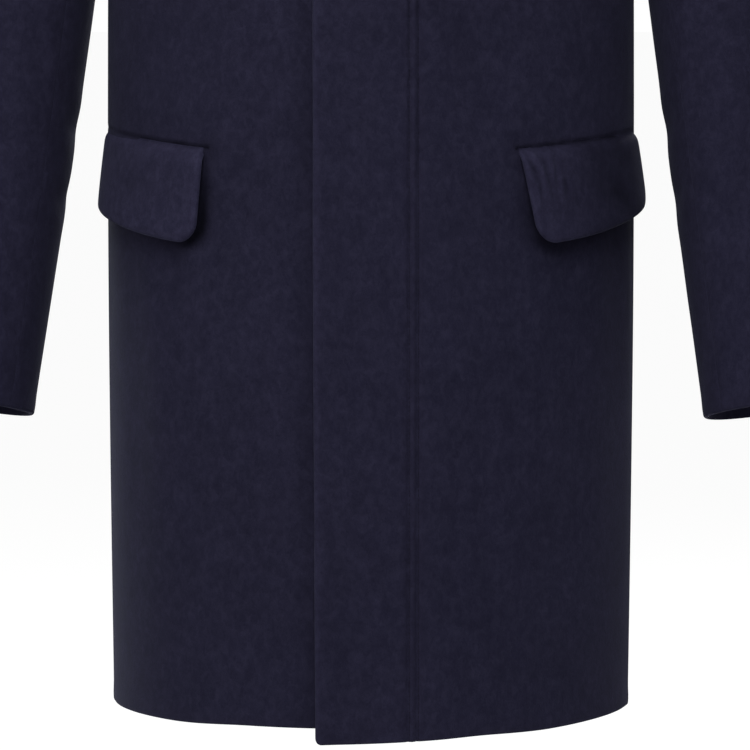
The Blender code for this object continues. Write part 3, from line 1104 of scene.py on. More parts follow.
    def fly_relief(self, grid: ClothGrid) -> Array:
        """The stitched rows of the covered fastening, with the ridge between them.

        Args:
            grid: The piece's grid.

        Returns:
            How far the face stands out.
        """
        first, second = self.fly_lines
        beats = [np.sin(grid.up / length + start) for length, start in self.fly_waves]
        uneven = 1.0 + self.fly_unevenness * beats[0] * beats[1]
        grooves = bell(grid.across - first, self.fly_width)
        grooves = grooves + self.fly_second * bell(grid.across - second, self.fly_width)
        ridge = bell(grid.across - (first + second) / 2, self.fly_ridge_width)
        return self.fly_ridge * ridge - self.fly_depth * grooves * uneven

    def own_relief(self, grid: ClothGrid) -> Array:
        """The covered fastening's stitching, the lap's edge and the pocket's seam.

        Args:
            grid: The piece's grid.

        Returns:
            How far the face stands out.
        """
        if self.side is Side.RIGHT:
            return self.pocket_groove(grid)
        away = self.from_lap_edge(grid)
        waves = [height * np.sin(grid.up / length + start) for height, length, start in self.lap_edge_waves]
        edge = self.lap_edge_lift * (1.0 + sum(waves)) * bell(away, self.lap_edge_reach)
        edge = edge - self.lap_roll_share * (rolled(away, self.lap_roll) - rolled(away, self.outer_roll))
        return (self.fly_relief(grid) + edge) * self.below_neck(grid) + self.pocket_groove(grid)

    def nap(self, grid: ClothGrid) -> Array:
        """Painted highlight along the lap's edge, and painted shadow in the fold that it covers and round
        the flap.

        Args:
            grid: The piece's grid.

        Returns:
            How much painted light lightens each point; where negative it is painted shade.
        """
        # The painted shadow round the pocket flap.
        below, pocket = self.below_neck(grid), self.flap.painted_shadow_on_front(grid.places)
        if self.side is Side.LEFT:
            # Painted highlight along the lap's edge.
            edge = bell(self.from_lap_edge(grid) - self.painted_highlight_from, self.painted_highlight_width)
            return self.painted_edge_highlight * edge * below - pocket
        # Painted shadow on the right front where the lap covers it.
        past = grid.across - self.lap - self.leaning(grid)
        covered = ease(1 + past / self.painted_fold_shadow_start)
        covered = covered * bell(np.maximum(past, 0.0), self.painted_fold_shadow_width)
        return -self.painted_fold_shadow * covered * below - pocket

    def pocket_groove(self, grid: ClothGrid) -> Array:
        """The seam that the pocket flap's top is sewn into."""
        nearest, share = nearest_on(grid.places, self.flap.line_on_front(FlapEdge.TOP))
        return -self.pocket_depth * bell(nearest, self.pocket_width) * self.flap.top_seam(share)

    def leaning(self, grid: ClothGrid) -> Array:
        """How much further the lap's edge goes past the middle, higher up."""
        return self.lap_lean * np.clip(grid.up / self.lap_lean_height, 0.0, 1.0)

    def settled(self, grid: ClothGrid) -> Array:
        """The outer face, with the lap's edge leaning and its corner at the hem rounded off.

        Args:
            grid: The piece's grid.

        Returns:
            The points.
        """
        away = self.from_lap_edge(grid)
        side = 1 - np.clip(away / self.corner, 0.0, 1.0)
        low = 1 - np.clip(grid.up / self.corner, 0.0, 1.0)
        in_side = self.corner * (side - side * np.sqrt(1 - low**2 / 2))
        in_up = self.corner * (low - low * np.sqrt(1 - side**2 / 2))
        along = unit(np.gradient(grid.places, axis=1))
        upward = unit(np.gradient(grid.places, axis=0))
        lean = self.leaning(grid) * (1 - ease(away / self.lap_lean_reach))
        return grid.places + along * (in_side - lean)[..., None] + upward * in_up[..., None]

    def stitch_path(self, place: float) -> tuple[Array, Array]:
        """The line of the finished face that lies this far from the middle, below the neck.

        Args:
            place: How far from the middle, along the cloth.

        Returns:
            The line's points and outward normals.
        """
        rows = self.neck_row(self.grid)
        column = int(np.argmin(np.abs(self.grid.across[rows // 2] - place)))
        mirror = np.array((self.side.value, 1.0, 1.0))
        return self.face[:rows, column], self.grid.normals[:rows, column] * mirror


@dataclass
class BackPanel(ClothPanel):
    """A half of the back, from the seam down its middle to the side."""

    label: str = "back"
    walls: tuple[str, ...] = ("_lower", "_upper")
    measured_row: float = 0.5
    measured_column: float = 0.4
    outward: int = -1

    def plain(self, s: Array, r: Array) -> Array:
        """Points on the back."""
        return self.cut.body(Half.BACK, 0.0, s, r)

    def lines(self) -> tuple[Array, Array]:
        """Columns from the middle to the side, and rows from the hem to the shoulder seam.

        Returns:
            The parameters of both.
        """
        neck = 1.0 + self.cut.back_neck_share
        columns = self.columns(0.0, 1.0, (Edge.SEWN, Edge.SEWN))
        skirt = self.rows(0.0, neck, (Edge.FOLDED, Edge.PLAIN))
        yoke = self.rows(neck, 2.0, (Edge.PLAIN, Edge.SEWN))
        return columns, np.concatenate((skirt, yoke[1:]))

    def normals_at(self, s: Array, r: Array) -> Array:
        """The outward normals, level with the middle where the two halves meet."""
        return super().normals_at(np.maximum(s, self.cut.difference), self.cut.clear_of_neck(Half.BACK, r))


class SleeveCut(Enum):
    """The pieces of a sleeve: a name's end, the solids' names' ends, and the angles at its two seams."""

    TOP = ("_top", ("_cap", "_top"), -2.2698, 2.3607)
    UNDER = ("_under", ("_under",), 2.3607, 4.0134)


@dataclass
class SleevePanel(ClothPanel):
    """A top or under sleeve, from the armhole to the cuff.

    Attributes:
        piece: Which of the two it is.
        painted_inner_shade: How much painted shade darkens the inner side, where the body shades the
            sleeve.
        painted_inner_shade_turn: How far round the arm that reaches.
    """

    label: str = "sleeve"
    measured_row: float = 1.4
    piece: SleeveCut = SleeveCut.TOP
    seam_height: float = 0.00025
    # Painted shade on the inner side, next to the body.
    painted_inner_shade: float = 0.18
    painted_inner_shade_turn: float = 0.42

    def __post_init__(self) -> None:
        """Takes its names and its middle column from the piece of sleeve that it is."""
        self.part, self.walls, low, high = self.piece.value
        self.measured_column = (low + high) / 2

    def plain(self, s: Array, r: Array) -> Array:
        """Points on the sleeve."""
        return self.cut.sleeve(s, r)

    def lines(self) -> tuple[Array, Array]:
        """Columns round the arm, and rows from the armhole to the cuff."""
        columns = self.columns(*self.piece.value[2:], (Edge.SEWN, Edge.SEWN))
        return columns, self.rows(0.0, 2.0, (Edge.SEWN, Edge.FOLDED))

    def nap(self, grid: ClothGrid) -> Array:
        """Painted shade on the inner side, where the body shades the sleeve."""
        return -self.painted_inner_shade * bell(np.abs(grid.s) - math.pi, self.painted_inner_shade_turn)

    def fold_distance(self, grid: ClothGrid) -> Array:
        """The cuff is turned."""
        return grid.from_top()

    def seam_distance(self, grid: ClothGrid) -> Array:
        """The armhole and both long edges are sewn."""
        return np.minimum.reduce([grid.across, grid.from_end(), grid.up])


@dataclass
class HoodHalf(ClothPanel):
    """A half of the hood, from the face's edge to the seam over the crown and down the back.

    Attributes:
        normal_inset: How far short of the crown and back seams' meeting its normals are read.
        hem_line: How far from the face's edge the stitching of its hem is.
        hem_groove: How deep that stitching is.
    """

    label: str = "hood"
    measured_row: float = 0.35
    measured_column: float = 0.5
    outward: int = -1
    normal_inset: float = 0.02
    hem_line: float = 0.022
    hem_groove: float = 0.0007
    hem_groove_width: float = 0.0014

    def plain(self, s: Array, r: Array) -> Array:
        """Points on the hood."""
        return self.cut.hood(s, r)

    def lines(self) -> tuple[Array, Array]:
        """Columns from the neck to the crown seam, and rows from the face's edge to the back seam."""
        columns = self.columns(0.0, 1.0, (Edge.SEWN, Edge.SEWN))
        return columns, self.rows(0.0, 1.0, (Edge.FOLDED, Edge.SEWN), beside([self.hem_line]))

    def normals_at(self, s: Array, r: Array) -> Array:
        """The outward normals, read just short of the point where the crown and back seams meet."""
        inside = 1 - self.normal_inset
        return super().normals_at(np.minimum(s, inside), np.minimum(r, inside))

    def own_relief(self, grid: ClothGrid) -> Array:
        """The line of stitching that holds the turned edge round the face."""
        groove = self.hem_groove * bell(grid.up - self.hem_line, self.hem_groove_width)
        return -groove * ease(self.seam_distance(grid) / self.seam_reach)


class FlapEdge(Enum):
    """An edge of a pocket flap, with its two ends as shares of the flap's width and depth."""

    TOP = ((0.0, 0.0), (1.0, 0.0))
    INNER = ((0.0, 0.0), (0.0, 1.0))
    BOTTOM = ((0.0, 1.0), (1.0, 1.0))


@dataclass
class PocketFlap(ClothPanel):
    """A pocket flap, sewn in along its top and standing off the front below.

    Attributes:
        width: The flap's width along the cloth.
        depth: Its depth at the inner end.
        round_corner: The radius of its lower corners.
        outer_rise: How much shallower its outer end is.
        inner_taper: How far its inner edge slants in towards the bottom.
        slant: How far its outer end is turned up, in degrees.
        inner_across: Where its top inner corner is, left of the middle.
        inner_height: The height of that corner.
        gap: The gap between the flap's top and the front.
        lift: How far its lower edge stands off the front.
        lift_bow: The power that its outer end rises by, below one where it bows out near the top.
        puff: How far its inner end is puffed out, most of all below the top.
        light: The painted light on the face at its inner and its outer end; where negative it is painted
            shade.
        painted_seam_shade: How much painted shade darkens the line of the top seam, and how far it reaches.
        seam_turns: How many times the top seam gets tighter and looser along its length.
        seam_unevenness: How much it does so.
        seam_fade: How much weaker it is at the outer end.
        seam_fade_from: The share of the width from which it gets weaker.
        painted_inner_shade: The same for the painted shadow along the inner edge, on the front.
        inner_fade: The share of the inner edge's painted shadow that is left at its top.
        painted_bottom_shadow: The same for the painted shadow along the bottom, on the front.
        corner_share: The share of the bottom over which the inner edge's painted shadow gives way to its
            own.
        painted_crease_light: How much painted light lightens the flap for each metre that a crease stands
            out, and painted shade darkens it where one sinks in.
        searched: How far below and above its top inner corner the front is measured.
        searched_places: How many rows are measured, and how many places on each.
        outline_places: How many places its outline has along the bottom, and on each end.
    """

    label: str = "flap"
    outward: int = -1
    thickness: float = 0.0035
    top_thickness: float = 0.0015
    step: float = 0.0016
    width: float = 0.147
    depth: float = 0.0738
    round_corner: float = 0.017
    outer_rise: float = 0.0125
    inner_taper: float = 0.0
    slant: float = 4.4
    inner_across: float = 0.119
    inner_height: float = -0.505
    gap: float = 0.0006
    lift: float = 0.0085
    lift_bow: float = 1.0
    pressed: float = 0.020
    outer_roll: float = 0.0030
    top_sink: float = 0.0036
    top_sink_reach: float = 0.0050
    top_corner: float = 0.0036
    top_corner_reach: Pair = (0.030, 0.016)
    puff: float = 0.0066
    puff_rise: float = 0.006
    puff_width: float = 0.75
    # Painted light on the face, and painted shade along the top seam.
    light: Pair = (0.20, 0.12)
    light_width: float = 0.7
    painted_seam_shade: Pair = (0.34, 0.0019)
    seam_turns: float = 2.6
    seam_beat: float = 5.0
    seam_unevenness: float = 0.42
    seam_fade: float = 0.70
    seam_fade_from: float = 0.45
    # Painted shadow on the front along the flap's inner edge and bottom.
    painted_inner_shade: Pair = (0.86, 0.0066)
    inner_fade: float = 0.22
    painted_bottom_shadow: Pair = (0.12, 0.0028)
    corner_share: float = 0.26
    # Painted highlights on ridges and painted shade in creases.
    painted_crease_light: float = 230.0
    searched: Pair = (0.11, 0.03)
    searched_places: tuple[int, int] = (57, 129)
    outline_places: tuple[int, int] = (400, 40)
    edge_places: int = 241
    waves: Unevenness = Unevenness(0.0007, 0.060)

    def row_lengths(self) -> tuple[Array, Array, Array, Array]:
        """The front's rows where the flap lies.

        Returns:
            Their heights and row parameters, and each place's way left of the middle and along the cloth.
        """
        below, above = self.searched
        rows, places = self.searched_places
        heights = np.linspace(self.inner_height - below, self.inner_height + above, rows)
        t = np.linspace(0.0, 1.0, places)
        front = self.cut.skirt(Half.FRONT, *np.meshgrid(heights, t, indexing="ij"))
        return heights, t, front[..., 0], run_lengths(front, 1)

    def laid_flat(self, w: Array, d: Array) -> tuple[Array, Array]:
        """Where a point of the flap lies on the flat cloth.

        Args:
            w: The share of the flap's width, from its inner end.
            d: The share of its depth, from its top.

        Returns:
            The distances from its top inner corner, along its top and down.
        """
        width = w * self.width
        inset = np.minimum(width, self.width - width)
        corner = np.clip(self.round_corner - inset, 0.0, self.round_corner)
        rounded = self.round_corner - np.sqrt(self.round_corner**2 - corner**2)
        down = d * (self.depth - self.outer_rise * w**2 - rounded)
        return width + self.inner_taper * (1 - w) * down / self.depth, down

    def on_front(self, w: Array, d: Array) -> tuple[Array, Array, Array]:
        """Where a point of the flap lies on the front.

        Args:
            w: The share of the flap's width, from its inner end.
            d: The share of its depth, from its top.

        Returns:
            The front's row parameter and climb, and the depth below the flap's top.
        """
        slant = math.radians(self.slant)
        width, down = self.laid_flat(w, d)
        height = self.inner_height + width * math.sin(slant) - down * math.cos(slant)
        heights, t, across, lengths = self.row_lengths()
        at = int(np.argmin(np.abs(heights - self.inner_height)))
        start = np.interp(self.inner_across, across[at], lengths[at])
        distance = start + width * math.cos(slant) + down * math.sin(slant)
        last = len(heights) - 1 - self.cut.difference
        row = np.clip((height - heights[0]) / (heights[1] - heights[0]), 0.0, last)
        low, share = row.astype(int), row % 1.0
        found = np.empty_like(distance)
        for k in np.unique(low):
            here = low == k
            below = np.interp(distance[here], lengths[k], t)
            above = np.interp(distance[here], lengths[k + 1], t)
            found[here] = mix(below, above, share[here])
        return found, (height - self.cut.hem) / (self.cut.underarm - self.cut.hem), down

    def panel(self, t: Array, climb: Array) -> Array:
        """Points on the front that the flap lies on."""
        return self.cut.body(Half.FRONT, 0.0, t, climb)

    def stand_off(self, t: Array, climb: Array) -> Array:
        """The direction in which the flap stands off the front."""
        return square_to(self.panel, t, climb, self.cut.difference)

    def plain(self, s: Array, r: Array) -> Array:
        """Points on the flap laid flat, without its rounded corners."""
        return points(s * self.width, r * self.depth, 0.0)

    def surface(self, s: Array, r: Array) -> Array:
        """Points on the flap's outer face.

        Args:
            s: The share of the flap's width, from its inner end.
            r: The share of its depth, from its top.

        Returns:
            The points.
        """
        t, climb, down = self.on_front(s, r)
        lift = self.lift * (down / self.depth) ** mix(1.0, self.lift_bow, s)
        height = self.gap + self.top_thickness + lift
        return self.panel(t, climb) + self.stand_off(t, climb) * height[..., None]

    def normals_at(self, s: Array, r: Array) -> Array:
        """The direction in which the flap stands off the front."""
        t, climb, _ = self.on_front(s, r)
        return self.stand_off(t, climb)

    def lines(self) -> tuple[Array, Array]:
        """Columns from the inner to the outer end, and rows from the top down."""
        columns = self.columns(0.0, 1.0, (Edge.FOLDED, Edge.FOLDED))
        return columns, self.rows(0.0, 1.0, (Edge.SEWN, Edge.FOLDED))

    def fold_distance(self, grid: ClothGrid) -> Array:
        """The ends and the bottom are turned.

        Args:
            grid: The piece's grid.

        Returns:
            How far each point is from the nearest of them.
        """
        bottom, end = self.outline_places
        along, down = np.linspace(0.0, 1.0, bottom), np.linspace(0.0, 1.0, end)
        outline_w = np.concatenate((np.zeros(end), along, np.ones(end)))
        outline_d = np.concatenate((down, np.ones(bottom), down[::-1]))
        line = np.stack(self.laid_flat(outline_w, outline_d), axis=-1)
        here = np.stack(self.laid_flat(grid.s, grid.r), axis=-1)
        nearest = np.full(here.shape[:-1], np.inf)
        for start, run in zip(line[:-1], np.diff(line, axis=0)):
            share = np.clip((here - start) @ run / max(run @ run, TINY**2), 0.0, 1.0)
            nearest = np.minimum(nearest, np.linalg.norm(here - start - share[..., None] * run, axis=-1))
        return nearest

    def seam_distance(self, grid: ClothGrid) -> Array:
        """No groove of its own: the top goes into the pocket's seam."""
        return np.full_like(grid.across, 1.0)

    def wall(self, grid: ClothGrid) -> Array:
        """Thin where the top is pressed into the seam, full below."""
        return mix(self.top_thickness, self.thickness, ease(grid.up / self.pressed))

    def soft_relief(self, grid: ClothGrid) -> Array:
        """Waves and creases, with the top rolled into the pocket's seam and the rest puffed out.

        Args:
            grid: The piece's grid.

        Returns:
            The relief at each point.
        """
        down = np.clip(grid.up / self.depth, 0.0, 1.0)
        rise = 1 - np.exp(-grid.up / self.puff_rise)
        puffed = self.puff * rise * (1 - down) * (1 - ease(grid.s / self.puff_width))
        return super().soft_relief(grid) + puffed - self.top_sink * bell(grid.up, self.top_sink_reach)

    def nap(self, grid: ClothGrid) -> Array:
        """The flap's painted light and shade: its face's painted light, painted highlights on ridges and
        painted shade in creases and the seam at its top.

        Args:
            grid: The piece's grid.

        Returns:
            How much painted light lightens each point; where negative it is painted shade.
        """
        strength, width = self.painted_seam_shade
        creased = sum(crease.relief(grid.across, grid.up) for crease in self.creases)
        # Painted light across the face; where negative it is painted shade.
        light = mix(*self.light, ease(grid.s / self.light_width))
        return light + self.painted_crease_light * creased - strength * bell(grid.up, width)

    def settled(self, grid: ClothGrid) -> Array:
        """The outer face, with its top inner corner drawn in.

        Args:
            grid: The piece's grid.

        Returns:
            The points.
        """
        across, down = self.top_corner_reach
        drawn = self.top_corner * (1 - ease(grid.across / across)) * (1 - ease(grid.up / down))
        return grid.places + unit(np.gradient(grid.places, axis=1)) * drawn[..., None]

    def line_on_front(self, edge: FlapEdge) -> Array:
        """The line on the front that one of the flap's edges lies along.

        Args:
            edge: The edge.

        Returns:
            The line's points.
        """
        start, end = np.array(edge.value)
        w, d = mix(start, end, np.linspace(0.0, 1.0, self.edge_places)[:, None]).T
        t, climb, _ = self.on_front(w, d)
        return self.panel(t, climb)

    def top_seam(self, share: Array) -> Array:
        """How strongly the seam at the top shows, in its groove and in its painted shade: unevenly, and
        less towards the side.

        Args:
            share: The share of the way along it.

        Returns:
            The strength, about one at the inner end.
        """
        tight = math.sin(self.seed) + self.seam_turns * share
        beat = np.sin(2 * math.pi * tight) * np.sin(self.seam_beat * tight)
        faded = ease((share - self.seam_fade_from) / (1 - self.seam_fade_from))
        return (1 + self.seam_unevenness * beat) * (1 - self.seam_fade * faded)

    def painted_edge_shadow(self, edge: FlapEdge, share: Array) -> tuple[Array, Array]:
        """How much painted shadow one of the flap's edges casts on the front.

        Args:
            edge: The edge.
            share: The share of the way along it.

        Returns:
            The share of colour that the painted shadow takes away on the edge's line, and how far from it
            that reaches.
        """
        if edge is FlapEdge.TOP:
            strength, width = self.painted_seam_shade
            return strength * self.top_seam(share), width
        strength, width = self.painted_inner_shade
        if edge is FlapEdge.INNER:
            return strength * mix(self.inner_fade, 1.0, ease(share)), width
        corner = 1 - ease(share / self.corner_share)
        return mix(self.painted_bottom_shadow[0], strength, corner), mix(self.painted_bottom_shadow[1], width, corner)

    def painted_shadow_on_front(self, places: Array) -> Array:
        """The painted shadow on the front around the flap.

        Args:
            places: Places on the front.

        Returns:
            The share of colour that the painted shadow takes away.
        """
        shade = np.zeros(places.shape[:-1])
        for edge in FlapEdge:
            distance, share = nearest_on(places, self.line_on_front(edge))
            strength, width = self.painted_edge_shadow(edge, share)
            shade = np.maximum(shade, strength * bell(distance, width))
        return shade


@dataclass
class FlyStitches:
    """The two rows of stitching that hold the covered fastening.

    Attributes:
        pitch: The distance from one stitch to the next.
        thread: The thread's radius.
        sunk: How far the thread's middle lies above the groove's face.
        look_ahead: The share of the pitch that a stitch's direction is read over.
    """

    pitch: float = 0.0034
    length: float = 0.0027
    thread: float = 0.00028
    sunk: float = 0.00012
    segments: int = 6
    rings: int = 5
    look_ahead: float = 0.25

    def one_stitch(self) -> tuple[Array, list[list[int]]]:
        """One stitch, modelled once along X.

        Returns:
            Its corners, and its faces, sorted because a new sphere's come in another order each run.
        """
        bpy.ops.object.select_all(action="DESELECT")
        bpy.ops.mesh.primitive_uv_sphere_add(segments=self.segments, ring_count=self.rings, radius=1.0)
        start = bpy.context.active_object
        bpy.ops.object.mode_set(mode="EDIT")
        bpy.ops.mesh.select_all(action="SELECT")
        bpy.ops.transform.resize(value=(self.thread, self.thread, self.length / 2))
        bpy.ops.transform.rotate(value=math.pi / 2, orient_axis="Y", center_override=(0.0, 0.0, 0.0))
        bpy.ops.mesh.normals_make_consistent(inside=False)
        bpy.ops.object.mode_set(mode="OBJECT")
        corners = np.array([corner.co[:] for corner in start.data.vertices])
        faces = sorted(list(face.vertices) for face in start.data.polygons)
        bpy.data.objects.remove(start)
        return corners, faces

    def build(self, name: str, paths: Sequence[tuple[Array, Array]]) -> bpy.types.Object:
        """All the stitches along some lines of the cloth, in one object.

        Args:
            name: The object's name.
            paths: Each line's points and outward normals.

        Returns:
            The object.
        """
        corners, faces = self.one_stitch()
        all_corners, all_faces = [], []
        for line, normals in paths:
            lengths = run_lengths(line, 0)
            for place in np.arange(self.pitch, lengths[-1] - self.pitch, self.pitch):
                middle, out = read_line(lengths, line, place), unit(read_line(lengths, normals, place))
                along = unit(read_line(lengths, line, place + self.look_ahead * self.pitch) - middle)
                turned = np.stack((along, np.cross(out, along), out))
                base = len(all_corners) * len(corners)
                all_corners.append(middle + out * self.sunk + corners @ turned)
                all_faces += [[base + corner for corner in face] for face in faces]
        return smooth_object(name, np.concatenate(all_corners), all_faces)

    def dress(self, stitches: bpy.types.Object, finish: "ThreadFinish") -> None:
        """Gives the stitches their thread and lets them go with the coat.

        Args:
            stitches: The built object.
            finish: The thread.
        """
        stitches.data.materials.append(finish.material(f"{stitches.name}_thread"))
        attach(stitches, BODY)


Number = Union["Value", float]


@dataclass(frozen=True)
class Value:
    """A number in a shader: a node's output, with arithmetic that adds Math nodes."""

    book: "NodeBook"
    socket: bpy.types.NodeSocket

    def math(self, operation: str, other: Number) -> "Value":
        """A Math node's result on this and another number."""
        node = self.book.node("ShaderNodeMath", {"operation": operation}, {0: self, 1: other})
        return Value(self.book, node.outputs[0])

    def __add__(self, other: Number) -> "Value":
        """This plus another number."""
        return self.math("ADD", other)

    def __mul__(self, other: Number) -> "Value":
        """This times another number."""
        return self.math("MULTIPLY", other)

    __radd__ = __add__
    __rmul__ = __mul__


@dataclass(frozen=True)
class NoisePattern:
    """A noise pattern.

    Attributes:
        scale: Its cells to a metre.
        detail: How many finer layers it has.
        roughness: How strong the finer layers are.
        swirl: How far it is swirled.
    """

    scale: float
    detail: float
    roughness: float = 0.55
    swirl: float = 0.0


class NodeBook:
    """The nodes of one material or of the studio's surroundings."""

    def __init__(self, tree: bpy.types.NodeTree) -> None:
        """Takes a node tree and empties it."""
        self.tree = tree
        tree.nodes.clear()

    def node(self, kind: str, settings: dict | None = None, sockets: dict | None = None) -> bpy.types.Node:
        """Adds a node.

        Args:
            kind: The node's type.
            settings: Its own settings, set before its sockets.
            sockets: Values, or outputs to link, by the name or number of its inputs.

        Returns:
            The node.
        """
        node = self.tree.nodes.new(kind)
        for name, value in (settings or {}).items():
            setattr(node, name, value)
        for key, value in (sockets or {}).items():
            value = value.socket if isinstance(value, Value) else value
            if isinstance(value, bpy.types.NodeSocket):
                self.tree.links.new(value, node.inputs[key])
            else:
                node.inputs[key].default_value = value
        return node

    def coordinates(self) -> bpy.types.NodeSocket:
        """The object's own coordinates, in metres."""
        return self.node("ShaderNodeTexCoord").outputs["Object"]

    def seen(self) -> Value:
        """One where the surface is looked at directly, none where it only gives light."""
        return Value(self, self.node("ShaderNodeLightPath").outputs["Is Camera Ray"])

    def noise(self, place: bpy.types.NodeSocket, pattern: NoisePattern) -> Value:
        """A noise pattern's value.

        Args:
            place: The coordinates that it lies on.
            pattern: The pattern.

        Returns:
            The value, about a half on average.
        """
        sockets = {
            "Vector": place, "Scale": pattern.scale, "Detail": pattern.detail,
            "Roughness": pattern.roughness, "Distortion": pattern.swirl,
        }
        return Value(self, self.node("ShaderNodeTexNoise", {}, sockets).outputs["Fac"])

    def spread(self, value: Value, limits: Pair) -> Value:
        """The value stretched so that the limits become 0 and 1, and held between them."""
        sockets = {"Value": value, "From Min": limits[0], "From Max": limits[1]}
        return Value(self, self.node("ShaderNodeMapRange", {"clamp": True}, sockets).outputs["Result"])

    def blend(self, share: Number, first: object, second: object, way: str = "MIX") -> bpy.types.NodeSocket:
        """Two colours mixed.

        Args:
            share: How much of the second colour.
            first: A colour or a colour output.
            second: Another.
            way: How they are mixed.

        Returns:
            The mixed colour's output.
        """
        sockets = {0: share}
        for key, colour in ((6, first), (7, second)):
            sockets[key] = colour if isinstance(colour, bpy.types.NodeSocket) else (*colour, 1.0)
        return self.node("ShaderNodeMix", {"data_type": "RGBA", "blend_type": way}, sockets).outputs[2]


def new_material(name: str) -> tuple[bpy.types.Material, NodeBook]:
    """A new material and its empty node book.

    Args:
        name: The material's name.

    Returns:
        Both.
    """
    material = bpy.data.materials.new(name)
    material.use_nodes = True
    return material, NodeBook(material.node_tree)


@dataclass(frozen=True)
class WoolFinish:
    """Brushed navy wool: a matted pile of fine fibres, slightly mottled.

    Attributes:
        deep: The colour where the tufts and mottling are low, which are also the bump's hollows: random
            tone with painted shade in those hollows.
        middle: The cloth's main colour.
        fibre: The colour where the hairs and mottling are high, which also stand out in the bump: random
            tone with a painted highlight on those raised fibres.
        hollow_mix: How much of the tufts and the mottling makes the hollows.
        bright_mix: How much of the hairs and the mottling makes the bright fibres.
        height_mix: How much of the tufts, the hairs and the mottling makes the pile's height.
    """

    deep: Colour = (0.0085, 0.0079, 0.0172)
    middle: Colour = (0.0130, 0.0122, 0.0256)
    fibre: Colour = (0.0205, 0.0196, 0.0375)
    roughness: Pair = (0.86, 0.97)
    sheen: float = 0.035
    sheen_roughness: float = 0.45
    sheen_tint: Colour = (0.55, 0.58, 0.90)
    specular: float = 0.08
    specular_tint: Colour = (0.60, 0.60, 1.00)
    nap_height: float = 0.00055
    nap_strength: float = 0.55
    drift: NoisePattern = NoisePattern(9.0, 1.0)
    cloud: NoisePattern = NoisePattern(56.0, 2.0)
    mottle: NoisePattern = NoisePattern(185.0, 3.0, 0.55, 0.6)
    tuft: NoisePattern = NoisePattern(720.0, 3.0, 0.65, 0.8)
    hair: NoisePattern = NoisePattern(1500.0, 2.0, 0.6, 1.2)
    upright: float = 0.75
    hollow_mix: Pair = (0.6, 0.4)
    hollow_range: Pair = (0.33, 0.60)
    bright_mix: Pair = (0.5, 0.5)
    bright_range: Pair = (0.48, 0.74)
    bright_share: float = 0.75
    height_mix: tuple[float, float, float] = (0.6, 0.25, 0.5)
    shade_range: Pair = (0.25, 0.75)
    cloud_shade: float = 0.24
    drift_shade: float = 0.12
    least_shade: float = 0.815
    rough_range: Pair = (0.3, 0.7)

    def fibre_colour(self, book: NodeBook, mottle: Value, tuft: Value, hair: Value) -> bpy.types.NodeSocket:
        """The colour of the matted fibres: random mottled tone, with painted shade in the bump's hollows
        and painted highlights on its raised fibres.

        Args:
            book: The material's nodes.
            mottle: The mottling's value.
            tuft: The tufts' value.
            hair: The hairs' value.

        Returns:
            The colour's output.
        """
        # The same noises shape the bump, so the colour carries painted shade in its hollows and painted
        # highlights on its raised fibres.
        hollow = book.spread(tuft * self.hollow_mix[0] + mottle * self.hollow_mix[1], self.hollow_range)
        bright = book.spread(hair * self.bright_mix[0] + mottle * self.bright_mix[1], self.bright_range)
        colour = book.blend(hollow, self.deep, self.middle)
        return book.blend(bright * self.bright_share, colour, self.fibre)

    def shade(self, book: NodeBook, place: bpy.types.NodeSocket) -> bpy.types.NodeSocket:
        """The grey that the colour is multiplied by: soft random clouds of tone, and the painted light and
        shade from the mesh.

        Args:
            book: The material's nodes.
            place: The coordinates that the clouds lie on.

        Returns:
            The grey's output.
        """
        cloud = book.spread(book.noise(place, self.cloud), self.shade_range)
        drift = book.spread(book.noise(place, self.drift), self.shade_range)
        # Painted light and shade, read from the mesh's point attribute.
        nap = Value(book, book.node("ShaderNodeAttribute", {"attribute_name": "nap"}).outputs["Fac"])
        shade = cloud * self.cloud_shade + drift * self.drift_shade + self.least_shade + nap
        return book.node("ShaderNodeCombineColor", {}, {0: shade, 1: shade, 2: shade}).outputs[0]

    def material(self, name: str, seed: float) -> bpy.types.Material:
        """The cloth as a material.

        Args:
            name: The material's name.
            seed: A number that moves the pattern, so that no two pieces match.

        Returns:
            The material.
        """
        material, book = new_material(name)
        moved = {"Vector": book.coordinates(), "Location": (seed, 2 * seed, 3 * seed)}
        place = book.node("ShaderNodeMapping", {}, moved).outputs["Vector"]
        stretched = {"Vector": place, "Scale": (1.0, 1.0, self.upright)}
        upright = book.node("ShaderNodeMapping", {}, stretched).outputs["Vector"]
        mottle, tuft = book.noise(upright, self.mottle), book.noise(upright, self.tuft)
        hair = book.noise(place, self.hair)
        fibres = self.fibre_colour(book, mottle, tuft, hair)
        low, high = self.roughness
        of_tuft, of_hair, of_mottle = self.height_mix
        bump = book.node("ShaderNodeBump", {}, {
            "Strength": self.nap_strength, "Distance": self.nap_height,
            "Height": tuft * of_tuft + hair * of_hair + mottle * of_mottle,
        })
        shader = book.node("ShaderNodeBsdfPrincipled", {}, {
            "Base Color": book.blend(1.0, fibres, self.shade(book, place), "MULTIPLY"),
            "Roughness": book.spread(mottle, self.rough_range) * (high - low) + low,
            "Normal": bump.outputs["Normal"], "Metallic": 0.0,
            "Specular IOR Level": self.specular, "Specular Tint": (*self.specular_tint, 1.0),
            "Sheen Weight": self.sheen, "Sheen Roughness": self.sheen_roughness,
            "Sheen Tint": (*self.sheen_tint, 1.0),
        })
        book.node("ShaderNodeOutputMaterial", {}, {"Surface": shader.outputs["BSDF"]})
        return material


